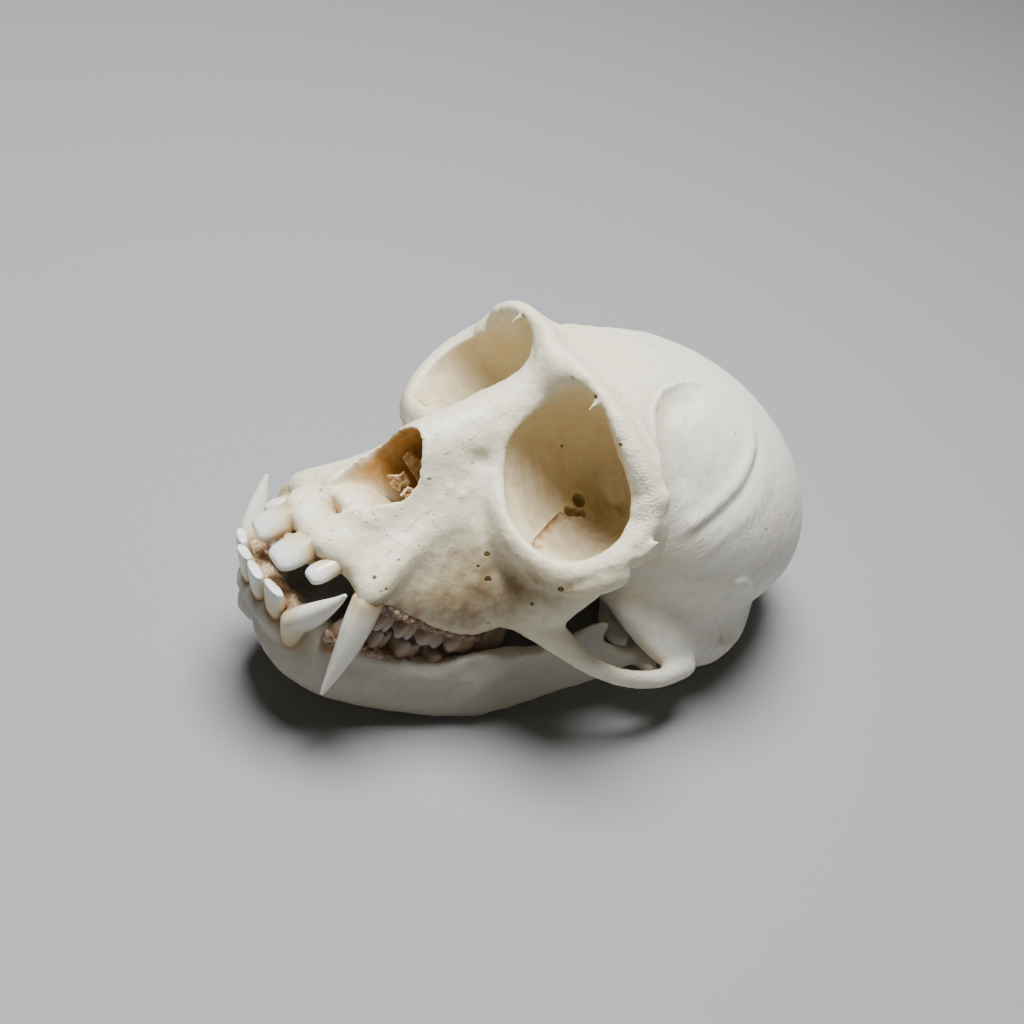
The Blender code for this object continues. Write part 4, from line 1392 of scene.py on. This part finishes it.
UPPER_ROW = (
    (54.0, 15.6, 5.0, 0.8, 0.9),
    (50.0, 15.8, 4.6, 0.8, 0.8),
    (44.0, 16.5, 4.3, 0.8, 0.75),
    (38.0, 17.0, 4.3, 0.8, 0.75),
    (31.0, 17.0, 4.8, 0.8, 0.75),
)
LOWER_ROW = (
    (56.0, 12.0, -5.2, 1.2, 1.4),
    (51.5, 13.2, -4.8, 1.0, 1.2),
    (46.0, 14.6, -4.6, 1.0, 1.1),
    (40.0, 16.0, -4.4, 1.0, 1.0),
    (34.5, 17.6, -3.2, 1.0, 0.9),
)
CRUST_GRAIN = 0.22
LACE_GRAIN = 0.16

nose_shells = both_sides(bar("nose_shells", NOSE_SHELL))
struts = []
for number, start in enumerate(LACE_KNOTS):
    for end in LACE_KNOTS[number + 1 : number + 4 : 2]:
        ends = [(*knot, LACE_HALF, LACE_HALF) for knot in (start, end)]
        struts.append(bar("strut", ends, steps=4, ring=10))
nose_shells = joined("nose_shells", [nose_shells, both_sides(joined("lace", struts))])
crumbly(clay(nose_shells, LACE_GRAIN, 1), 0.14, 0.7)
gum = joined("dried_gum", [bar("lower_gum", LOWER_GUM), bar("upper_gum", UPPER_GUM)])
crumbly(clay(gum, CRUST_GRAIN, 1), 0.4, 0.9)
rows = [both_sides(bar("upper_row", UPPER_ROW)), both_sides(bar("lower_row", LOWER_ROW))]
tissue = joined("dried_tissue", rows)
crumbly(clay(tissue, CRUST_GRAIN, 1), 0.3, 0.9)
print("crumbly pieces:", nose_shells.name, gum.name, tissue.name)

# %% [markdown]
# ## Where the colours sit
# Bone keeps its colours in places: tan where it is sheltered, white where it was rubbed, yellow in the
# nerve holes, brown where gum dried on. Brown and tan also serve as painted shade on the orbit floors,
# over the cheek teeth and behind the cheek arch. A noise alone can't know those places. So each finish
# gets a number on every point of the mesh, worked out from the shape, and the material reads it.

# %% Painting numbers on the points
SHELTER_RAYS = 10
SHELTER_REACH = 40.0
SHELTER_LIFT = 0.2
SHELTER_LEAN = 1.02


def painted(piece, name, values):
    piece.data.attributes.new(name, "FLOAT", "POINT")
    piece.data.attributes[name].data.foreach_set("value", np.array(values, np.float32))


def eased(values, low, high):
    """Rises softly from 0 at low to 1 at high."""
    share = np.clip((values - low) / (high - low), 0.0, 1.0)
    return share * share * (3.0 - 2.0 * share)


def blurred(piece, values, rounds):
    """Evens the numbers out between neighbouring points."""
    mean = averager(piece)
    for _ in range(rounds):
        values = 0.4 * values + 0.6 * mean(values)
    return values


def sheltered(piece, tree):
    """How much of the open space over each point the bone itself hides, from 0 to 1."""
    places, normals = points_of(piece), normals_of(piece)
    ways = np.random.default_rng(7).normal(size=(SHELTER_RAYS, 3))
    ways /= np.linalg.norm(ways, axis=1)[:, None]
    starts = (places + normals * SHELTER_LIFT).tolist()
    hidden = np.zeros(len(places))
    for way in ways:
        aims = way + normals * SHELTER_LEAN
        for number, aim in enumerate(aims.tolist()):
            distance = tree.ray_cast(starts[number], aim, SHELTER_REACH)[3]
            if distance is not None:
                hidden[number] += 1.0 - 0.5 * distance / SHELTER_REACH
    return blurred(piece, hidden / SHELTER_RAYS, 6)


def closeness(piece, tree, reach):
    """1 where the other surface touches, falling to 0 at the reach."""
    near = []
    for place in points_of(piece).tolist():
        distance = tree.find_nearest(place, reach)[3]
        near.append(reach if distance is None else distance)
    return 1.0 - np.array(near) / reach


def patches(places, tree, spots):
    """A soft spot of colour round each pixel that is named, on both sides."""
    total = np.zeros(len(places))
    for pixel, width, strength in spots:
        total = np.maximum(total, strength * bell(places, seen_at(tree, pixel)[0], width))
    return total


# %% Colour places on the cranium
TAN_AND_SHADE_SPOTS = (
    ((580, 338), 5.0, 0.22),
    ((606, 352), 5.5, 0.2),
    ((640, 345), 5.0, 0.14),
    ((318, 490), 3.2, 0.5),
    ((350, 545), 4.0, 0.25),
    ((495, 400), 2.6, 0.35),
    ((470, 445), 3.0, 0.25),
    ((670, 402), 2.2, 0.3),
    ((690, 412), 1.3, 0.35),
    # Painted shade: the next two spots tan the hollow behind the cheek arch, where shade falls.
    ((657, 562), 3.0, 0.5),
    ((632, 592), 3.5, 0.5),
    ((700, 600), 6.0, 0.2),
    ((430, 588), 5.5, 0.7),
    ((470, 578), 7.5, 0.85),
    ((530, 570), 3.5, 0.5),
    ((570, 588), 3.5, 0.5),
    ((600, 560), 3.0, 0.3),
)
# Brown stain spots on the muzzle; low on the maxilla, over the cheek teeth, they also carry painted shade.
STAIN_AND_SHADE_SPOTS = (
    ((514, 588), 5.0, 0.9),
    ((538, 582), 3.6, 0.6),
    ((500, 604), 4.8, 0.9),
    ((478, 592), 6.0, 0.9),
    ((466, 612), 5.2, 1.0),
    ((446, 602), 5.6, 0.9),
    ((462, 576), 5.5, 0.75),
    ((418, 600), 4.4, 0.75),
    ((392, 592), 3.0, 0.6),
    ((552, 596), 3.4, 0.55),
    ((612, 612), 2.8, 0.45),
    ((316, 488), 3.4, 0.6),
    ((330, 470), 3.0, 0.4),
)
OLIVE_SPOTS = (
    ((579, 500), 1.9, 0.9),
    ((569, 511), 1.5, 0.9),
    ((576, 512), 1.5, 0.9),
    ((583, 513), 1.2, 0.8),
    ((561, 589), 1.1, 0.7),
    ((570, 588), 1.0, 0.5),
    ((487, 554), 0.7, 0.3),
    ((488, 579), 0.7, 0.3),
    ((562, 445), 0.6, 0.4),
    ((621, 444), 0.6, 0.5),
    ((596, 396), 0.7, 0.3),
)
SEAMS = (
    ((511, 410), (492, 422), (470, 440), (446, 455)),
    ((441, 503), (433, 509), (412, 525), (397, 541), (386, 556), (374, 569)),
    ((632.5, 668), (638, 679), (644, 683)),
    ((656, 413), (656, 405), (662, 393), (673, 386), (685, 382.6), (697, 384), (709.6, 390)),
)
CRUST_SPOTS = (
    ((535, 547), 1.7, 1.6),
    ((541, 538), 1.6, 1.35),
    ((548, 529), 1.6, 1.25),
    ((556, 521), 1.6, 1.1),
    ((566, 516), 1.7, 1.0),
    ((583, 518), 1.4, 0.95),
)
PALE_SPOTS = (
    ((622, 478), 2.4, 0.4),
    ((624, 498), 2.4, 0.4),
    ((622, 514), 2.0, 0.35),
    ((580, 540), 4.0, 0.2),
)
PITTED = ((630, 430), (642, 456), (649, 482), (650, 505), (645, 525))
FAN_HUB = (648, 468)
BOWL_WIDE = 18.0
BOWL_DEEP = 24.0
CRUST_REACH = 2.2
CRUST_FRONT = 58.0
NO_SEAM = 5.0


def fan(piece, tree):
    """Arcs round a hub on the side of the head, along which the fine fibres run."""
    hub, normal = seen_at(tree, FAN_HUB)
    side = normal.cross(Vector((0, 0, 1))).normalized()
    high = side.cross(normal)
    away = to_left(points_of(piece), points_of(piece)) - np.array(hub)
    turn = np.arctan2(-(away @ np.array(high)), -(away @ np.array(side)))
    return np.linalg.norm(away, axis=1), turn


def eye_bowl(left, normals):
    """1 on the inner wall of the orbit, from a little behind the rim on."""
    axis = -np.array(FROM_APEX)
    away = left - np.array(ORBIT_CENTRE)
    depth = away @ axis
    beside = away - depth[:, None] * axis
    facing = (beside * normals).sum(axis=1) < 0.0
    near = (np.linalg.norm(beside, axis=1) < BOWL_WIDE) & (depth < BOWL_DEEP)
    return eased(depth, 0.5, 5.0) * near * facing


def colour_places(piece):
    tree = tree_of(piece)
    places = points_of(piece)
    left = to_left(places, places)
    hollow = sheltered(piece, tree)
    forward, aside, height = left.T
    painted(piece, "shelter", hollow)
    normals = to_left(normals_of(piece), places)
    bowl = eye_bowl(left, normals)
    # Painted shade: the upward-facing floor of each orbit is darkened with the stain colour, to stand in for
    # the shade there.
    up = np.array((TURN.to_3x3().transposed() @ Vector((0, 0, 1))).normalized())
    upward = blurred(piece, bowl * np.clip(normals @ up, 0.0, 1.0), 3)
    deep = np.maximum(0.75 * eased(hollow, 0.28, 0.62), blurred(piece, 0.7 * bowl, 3))
    # The tan numbers hold real tan, and painted shade in the hollow behind the cheek arch.
    tan = np.maximum(patches(left, tree, TAN_AND_SHADE_SPOTS), deep) - patches(left, tree, PALE_SPOTS)
    painted(piece, "tan", np.maximum(tan, 0.0))
    in_nose = (aside < 7.0) * (forward > 42.0) * eased(34.0 - height, 0.0, 3.0)
    inside = eased(hollow, 0.35, 0.7) * in_nose
    painted(piece, "nose", inside * (0.25 + 0.75 * eased(height, 15.0, 18.5)))
    print("shelter, from tenth to tenth:", np.round(np.percentile(hollow, range(0, 101, 10)), 2))
    # The stain numbers hold real stain spots and the painted shade of the orbit floors.
    painted(piece, "stain", np.maximum(patches(left, tree, STAIN_AND_SHADE_SPOTS), 0.6 * upward))
    painted(piece, "olive", patches(left, tree, OLIVE_SPOTS))
    behind = eased(27.0 - forward, 0.0, 7.0)
    painted(piece, "dome", behind * eased(height, 10.0, 22.0))
    painted(piece, "fibrous", behind * eased(aside, 7.0, 15.0) * eased(height, 8.0, 16.0))
    seam = np.full(len(places), NO_SEAM)
    for pixels in SEAMS:
        seam = np.minimum(seam, nearest(left, dropped(tree, pixels))[0])
    painted(piece, "seam", seam)
    painted(piece, "pitted", eased(4.2 - nearest(left, dropped(tree, PITTED))[0], 0.0, 3.2))
    radius, turn = fan(piece, tree)
    painted(piece, "fan_radius", radius)
    painted(piece, "fan_turn", turn)
    crust = closeness(piece, tooth_tree, CRUST_REACH) * (forward < CRUST_FRONT)
    painted(piece, "crust", np.maximum(crust, patches(left, tree, CRUST_SPOTS)))
    painted(piece, "muzzle", eased(forward, 44.0, 56.0))


def tree_of_all(pieces):
    corners, faces = [], []
    for piece in pieces:
        start = len(corners)
        corners += [v.co.copy() for v in piece.data.vertices]
        faces += [[start + v for v in p.vertices] for p in piece.data.polygons]
    return BVHTree.FromPolygons(corners, faces)


tooth_tree = tree_of_all(teeth.values())
colour_places(cranium)
print("colour places:", [a.name for a in cranium.data.attributes if a.domain == "POINT"][1:])

# %% Colour places on the jaw and the teeth
ROOT_REACH = 4.4
JAW_CRUST_REACH = 2.0
jaw_tree = tree_of(jaw)
painted(jaw, "shelter", blurred(jaw, sheltered(jaw, jaw_tree), 8))
painted(jaw, "crust", closeness(jaw, tooth_tree, JAW_CRUST_REACH))
bone_tree = tree_of_all([cranium, jaw, gum, tissue])
for tooth in teeth.values():
    painted(tooth, "root", closeness(tooth, bone_tree, ROOT_REACH))
print("teeth painted:", len(teeth))

# %% [markdown]
# ## Laying the skull on the table
# Everything so far is level and in millimetres. The skull rests on the two angles of the lower jaw
# and on the back of the head, so it is turned snout up by the rest pitch and shifted so that the
# middle of its box stands over the origin. It is made three parts in a thousand smaller, as if it had
# been polished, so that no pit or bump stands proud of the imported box. What the table touches is
# levelled with a Bisect.

# %% Turning and settling
SKULL_SHIFT = Vector((-0.017, 4.537, -1.843)) * MM
POLISH = 0.997
LAY_DOWN = Matrix.Scale(POLISH, 4) @ Matrix.Translation(SKULL_SHIFT) @ TURN


def laid_down(piece):
    """Turns and shrinks a piece into place by its mesh, so that its object stays at the origin."""
    piece.data.transform(LAY_DOWN)
    piece.data.update()


pieces = [cranium, jaw, nose_shells, gum, tissue, *teeth.values()]
for piece in pieces:
    laid_down(piece)
for piece in (cranium, jaw):
    cut_flat(piece, (0, 0, 0), (0, 0, 1), threshold=1e-6, clear_inner=True)
lowest = [min(v.co.z for v in piece.data.vertices) / MM for piece in (cranium, jaw)]
print("lowest points, in mm:", np.round(lowest, 3))

# %% [markdown]
# ## Bone and enamel
# Old cleaned bone is a satin white with cream and tan in it, dotted with fine pores and streaked by
# fibres. Enamel is smoother and bluish, and yellows towards the root. A picture could carry all this,
# but nodes stay sharp at any size, so each finish is a colour that is built up in layers: a base, a
# wash of noise, then what the painted numbers add, and a bump from the same noises.

# %% Tools for building a finish


def filled(node, inputs):
    """Gives each input a number, or a wire from another node."""
    for name, value in inputs.items():
        if isinstance(value, bpy.types.NodeSocket):
            node.id_data.links.new(value, node.inputs[name])
        else:
            node.inputs[name].default_value = value
    return node


def added(tree, kind, inputs, **settings):
    """A new node with its settings and its inputs."""
    node = tree.nodes.new(kind)
    for name, value in settings.items():
        setattr(node, name, value)
    return filled(node, inputs)


def told(tree, name):
    """The painted number of that name."""
    return added(tree, "ShaderNodeAttribute", {}, attribute_name=name).outputs["Fac"]


def speckle(place, scale, detail=5.0, rough=0.55, warp=0.0):
    inputs = {"Vector": place, "Scale": scale, "Detail": detail, "Roughness": rough, "Distortion": warp}
    return added(place.id_data, "ShaderNodeTexNoise", inputs).outputs["Fac"]


def cells(place, scale, feature="F1", **inputs):
    inputs = {"Vector": place, "Scale": scale, **inputs}
    return added(place.id_data, "ShaderNodeTexVoronoi", inputs, feature=feature).outputs["Distance"]


def stretch(value, low, high, start=0.0, end=1.0):
    """Turns low to high into start to end, and keeps what is outside at the ends."""
    inputs = {"Value": value, "From Min": low, "From Max": high, "To Min": start, "To Max": end}
    smooth = added(value.id_data, "ShaderNodeMapRange", inputs, interpolation_type="SMOOTHSTEP")
    return smooth.outputs["Result"]


def sums(way, first, *others):
    """Takes numbers and wires together, one after the other; the first is a wire."""
    for other in others:
        first = added(first.id_data, "ShaderNodeMath", {0: first, 1: other}, operation=way).outputs[0]
    return first


def plus(*values):
    return sums("ADD", *values)


def minus(*values):
    return sums("SUBTRACT", *values)


def times(*values):
    return sums("MULTIPLY", *values)


def wash(share, under, over, way="MIX"):
    """Lays one colour over another by a share."""
    under, over = [(*c, 1.0) if isinstance(c, tuple) else c for c in (under, over)]
    inputs = {0: share, 6: under, 7: over}
    return added(share.id_data, "ShaderNodeMix", inputs, data_type="RGBA", blend_type=way).outputs[2]


def flaked(tree, grain):
    """Where dried crust sticks to bone: round the painted places, in flakes."""
    return stretch(plus(told(tree, "crust"), times(grain, 1.1)), 1.1, 1.6, 0.0, 0.8)


def bumped(height, distance):
    inputs = {"Height": height, "Distance": distance}
    return added(height.id_data, "ShaderNodeBump", inputs).outputs["Normal"]


def finish(name):
    material = bpy.data.materials.new(name)
    material.use_nodes = True
    tree = material.node_tree
    place = added(tree, "ShaderNodeTexCoord", {}).outputs["Object"]
    return material, tree, tree.nodes["Principled BSDF"], place


# %% Bone of the cranium
IVORY = (0.82, 0.76, 0.58)
COOL_WHITE = (0.80, 0.78, 0.68)
CREAM = (0.78, 0.65, 0.40)
FIBRE_GREY = (0.62, 0.61, 0.58)
TAN = (0.74, 0.60, 0.35)
# The stain brown is deepened so that it also serves as painted shade.
STAIN_AND_SHADE_BROWN = (0.29, 0.19, 0.09)
AMBER = (0.52, 0.27, 0.07)
OLIVE = (0.44, 0.32, 0.07)
GUM_BROWN = (0.40, 0.22, 0.10)
SEAM_BROWN = (0.42, 0.29, 0.15)
DOT_BROWN = (0.50, 0.40, 0.26)
PORE_BROWN = (0.45, 0.36, 0.24)


def cranium_bone():
    material, tree, shader, place = finish("weathered_bone")
    clouds = speckle(place, 90.0, 4.0)
    grain = speckle(place, 420.0, 6.0)
    fine = speckle(place, 1600.0, 5.0, 0.6)
    arcs = {"X": times(told(tree, "fan_radius"), 1.5), "Y": times(told(tree, "fan_turn"), 2.4)}
    fan_place = added(tree, "ShaderNodeCombineXYZ", arcs).outputs["Vector"]
    fibres = speckle(fan_place, 1.0, 5.0, 0.6, 0.4)
    fibrous = told(tree, "fibrous")
    patchy = stretch(grain, 0.3, 0.7, 0.75, 1.15)
    wobble = times(minus(speckle(place, 1100.0, 3.0), 0.5), 1.1)
    seam = sums("ABSOLUTE", plus(told(tree, "seam"), wobble), 0.0)
    line = stretch(seam, 0.05, 0.2, 0.4, 0.0)
    pores = times(stretch(cells(place, 260.0), 0.045, 0.11, 0.75, 0.0), stretch(clouds, 0.5, 0.6))
    dots = times(stretch(cells(place, 1050.0), 0.08, 0.26, 0.8, 0.0), stretch(grain, 0.46, 0.6))
    dots = times(dots, plus(times(told(tree, "muzzle"), 0.85), 0.15))
    pebbles = cells(place, 2900.0, "SMOOTH_F1", Smoothness=0.9)

    colour = wash(told(tree, "dome"), IVORY, COOL_WHITE)
    colour = wash(stretch(clouds, 0.45, 0.75, 0.0, 0.4), colour, CREAM)
    colour = wash(stretch(grain, 0.35, 0.7, 0.0, 0.25), colour, CREAM, "MULTIPLY")
    colour = wash(times(stretch(fibres, 0.4, 0.7, 0.0, 0.35), fibrous), colour, FIBRE_GREY)
    colour = wash(sums("MINIMUM", times(told(tree, "tan"), patchy), 0.92), colour, TAN)
    # Stain brown: real stain, and painted shade on the orbit floors and over the cheek teeth.
    colour = wash(times(told(tree, "stain"), patchy), colour, STAIN_AND_SHADE_BROWN)
    colour = wash(times(told(tree, "nose"), patchy), colour, AMBER)
    colour = wash(times(told(tree, "olive"), 0.85), colour, OLIVE)
    colour = wash(flaked(tree, grain), colour, GUM_BROWN)
    colour = wash(line, colour, SEAM_BROWN)
    colour = wash(times(dots, 0.25), colour, DOT_BROWN)
    colour = wash(pores, colour, PORE_BROWN)

    height = plus(times(grain, 0.5), times(fine, 0.28), times(fibres, fibrous, 0.6))
    height = minus(height, times(pebbles, told(tree, "pitted"), 0.45), times(line, 0.6))
    height = minus(height, times(pores, 1.2), times(dots, 0.9))
    rough = stretch(grain, 0.3, 0.7, 0.36, 0.56)
    filled(shader, {"Base Color": colour, "Roughness": rough, "Normal": bumped(height, 0.0003)})
    return material


# %% Bone of the jaw in painted shade, and the crumbly pieces
# Painted shade: the jaw's colours are the cranium's bone made about half as bright, because the jaw lies in
# the shade under the face.
JAW_SHADED_GREY = (0.43, 0.41, 0.35)
JAW_SHADED_CREAM = (0.42, 0.35, 0.25)
JAW_SHADE = (0.35, 0.30, 0.22)
CRUMB_ROUGH = 0.42


def jaw_bone():
    material, tree, shader, place = finish("jaw_bone")
    clouds = speckle(place, 70.0, 4.0)
    grain = speckle(place, 380.0, 6.0)
    fine = speckle(place, 1500.0, 5.0, 0.6)
    colour = wash(stretch(clouds, 0.4, 0.7, 0.0, 0.55), JAW_SHADED_GREY, JAW_SHADED_CREAM)
    colour = wash(stretch(grain, 0.35, 0.7, 0.0, 0.35), colour, JAW_SHADE)
    colour = wash(stretch(told(tree, "shelter"), 0.3, 0.7, 0.0, 0.7), colour, TAN)
    colour = wash(flaked(tree, grain), colour, GUM_BROWN)
    rough = stretch(grain, 0.3, 0.7, 0.36, 0.56)
    height = plus(times(grain, 0.7), times(fine, 0.3))
    filled(shader, {"Base Color": colour, "Roughness": rough, "Normal": bumped(height, 0.00025)})
    return material


def crumb(name, low, high):
    material, tree, shader, place = finish(name)
    grain = speckle(place, 900.0, 6.0, 0.65)
    colour = wash(stretch(grain, 0.38, 0.62), low, high)
    normal = bumped(grain, 0.0002)
    filled(shader, {"Base Color": colour, "Roughness": CRUMB_ROUGH, "Normal": normal})
    return material


# %% Enamel
ENAMELS = {
    "incisor_enamel": ((0.80, 0.80, 0.77), (0.70, 0.58, 0.38), (0.36, 0.19, 0.07)),
    "canine_enamel": ((0.80, 0.76, 0.66), (0.66, 0.54, 0.34), (0.36, 0.22, 0.10)),
    # Cheek teeth: their own grey-brown, made darker still as painted shade of the tooth row under the cheek.
    "cheek_tooth_enamel": ((0.36, 0.31, 0.29), (0.30, 0.21, 0.14), (0.20, 0.10, 0.04)),
}


def enamel(name, crown, root, stain):
    material, tree, shader, place = finish(name)
    clouds = speckle(place, 260.0, 4.0)
    fine = speckle(place, 1400.0, 4.0)
    low = plus(told(tree, "root"), times(minus(clouds, 0.5), 0.7))
    colour = wash(stretch(low, 0.15, 0.8), crown, root)
    colour = wash(stretch(low, 0.72, 1.05, 0.0, 0.85), colour, stain)
    colour = wash(stretch(clouds, 0.45, 0.7, 0.0, 0.25), colour, root)
    rough = stretch(fine, 0.3, 0.7, 0.14, 0.28)
    height = plus(clouds, times(fine, 0.2))
    filled(shader, {"Base Color": colour, "Roughness": rough, "Normal": bumped(height, 0.00012)})
    return material


looks = {"cranium_bone": cranium_bone(), "jaw_bone": jaw_bone()}
for name, colours in ENAMELS.items():
    looks[name] = enamel(name, *colours)
print("finishes:", list(looks))

# %% [markdown]
# ## Tying each piece to its solid
# Nothing in this skull moves, so every piece rides its one body. Each bone and tooth takes the place
# of the imported solid of its node. The shells and the crusts have no solid of their own.

# %% Pieces, nodes and slots
SMOOTH_UNDER = math.radians(40)
CRUMBS = (
    (nose_shells, "nose_shell_bone", (0.58, 0.36, 0.15), (0.80, 0.66, 0.42), "cranium_bone"),
    (gum, "dried_gum_crust", (0.34, 0.20, 0.10), (0.66, 0.48, 0.29), "jaw_bone"),
    (tissue, "dried_tissue_crust", (0.12, 0.06, 0.035), (0.38, 0.27, 0.19), "jaw_bone"),
)


def slot_of(node):
    slots = {"cranium": "cranium_bone", "jaw": "jaw_bone"}
    slots |= {"incisor": "incisor_enamel", "canine": "canine_enamel"}
    return next((slots[word] for word in slots if word in node), "cheek_tooth_enamel")


def dressed(piece, look, slot):
    piece.data.materials.clear()
    piece.data.materials.append(look)
    only(piece)
    bpy.ops.object.shade_smooth_by_angle(angle=SMOOTH_UNDER)
    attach(piece, "root")


for node, piece in {"cranium": cranium, "lower_jaw": jaw, **teeth}.items():
    dressed(piece, looks[slot_of(node)], slot_of(node))
    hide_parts(node)
for piece, name, low, high, slot in CRUMBS:
    dressed(piece, crumb(name, low, high), slot)
print("dressed:", len(pieces), "pieces")

# %% [markdown]
# ## Floor, light and camera
# The skull lies on a plain floor under one large soft light from above, with a weak warm one on its
# left. The camera looks from the photograph's place, turned and shifted with the skull.

# %% Floor, light and camera
FLOOR_HALF = 3.0
FLOOR_GREY = (0.26, 0.26, 0.26)
ROOM_WARM = (1.0, 0.96, 0.9)
LIT_SPOT = Vector((0.0, 0.0, 0.03))
LIGHTS = (
    ("window", (-0.08, 0.0, 0.6), 0.34, 10.5, (0.94, 0.975, 1.0)),
    ("fill", (0.5, -0.3, 0.35), 0.5, 0.3, (1.0, 0.94, 0.86)),
)
bpy.ops.object.select_all(action="DESELECT")
bpy.ops.mesh.primitive_plane_add(size=2 * FLOOR_HALF, location=(0, 0, 0))
floor = bpy.context.object
floor.name = "floor"
floor_look = bpy.data.materials.new("floor_paper")
floor_look.use_nodes = True
paper = {"Base Color": (*FLOOR_GREY, 1.0), "Roughness": 0.7}
filled(floor_look.node_tree.nodes["Principled BSDF"], paper)
floor.data.materials.append(floor_look)
floor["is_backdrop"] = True

world = bpy.data.worlds.new("studio")
bpy.context.scene.world = world
world.use_nodes = True
filled(world.node_tree.nodes["Background"], {"Color": (*ROOM_WARM, 1.0), "Strength": 0.06})


def soft_light(name, place, size, power, colour):
    light = bpy.data.lights.new(name, "AREA")
    light.shape = "DISK"
    light.size = size
    light.energy = power
    light.color = colour
    lamp = bpy.data.objects.new(name, light)
    lamp.rotation_euler = (LIT_SPOT - Vector(place)).to_track_quat("-Z", "Y").to_euler()
    lamp.location = place
    bpy.context.scene.collection.objects.link(lamp)


for values in LIGHTS:
    soft_light(*values)

camera = bpy.data.cameras.new("camera")
camera.sensor_width = SENSOR
camera.lens = CAMERA_PIXELS * SENSOR / PHOTO_SIDE
camera.clip_start = 0.01
eye = bpy.data.objects.new("camera", camera)
bpy.context.scene.collection.objects.link(eye)
spot = Matrix.Translation(SKULL_SHIFT) @ TURN @ CAMERA_PLACE
axes = [(LAY_DOWN.to_3x3() @ axis).normalized() for axis in (RIGHT, ABOVE, -LOOK)]
eye.matrix_world = Matrix.Translation(spot) @ Matrix(axes).transposed().to_4x4()
bpy.context.scene.camera = eye
print("lights:", [values[0] for values in LIGHTS])

# %% [markdown]
# ## The two sizes
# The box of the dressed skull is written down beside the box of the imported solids, so that the two
# can be compared.

# %% Size and finish
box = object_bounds()
for title, corners in (("CAD box:", CAD_BOX), ("visual box:", box)):
    print(title, np.round(np.array(corners) / MM, 2).tolist())
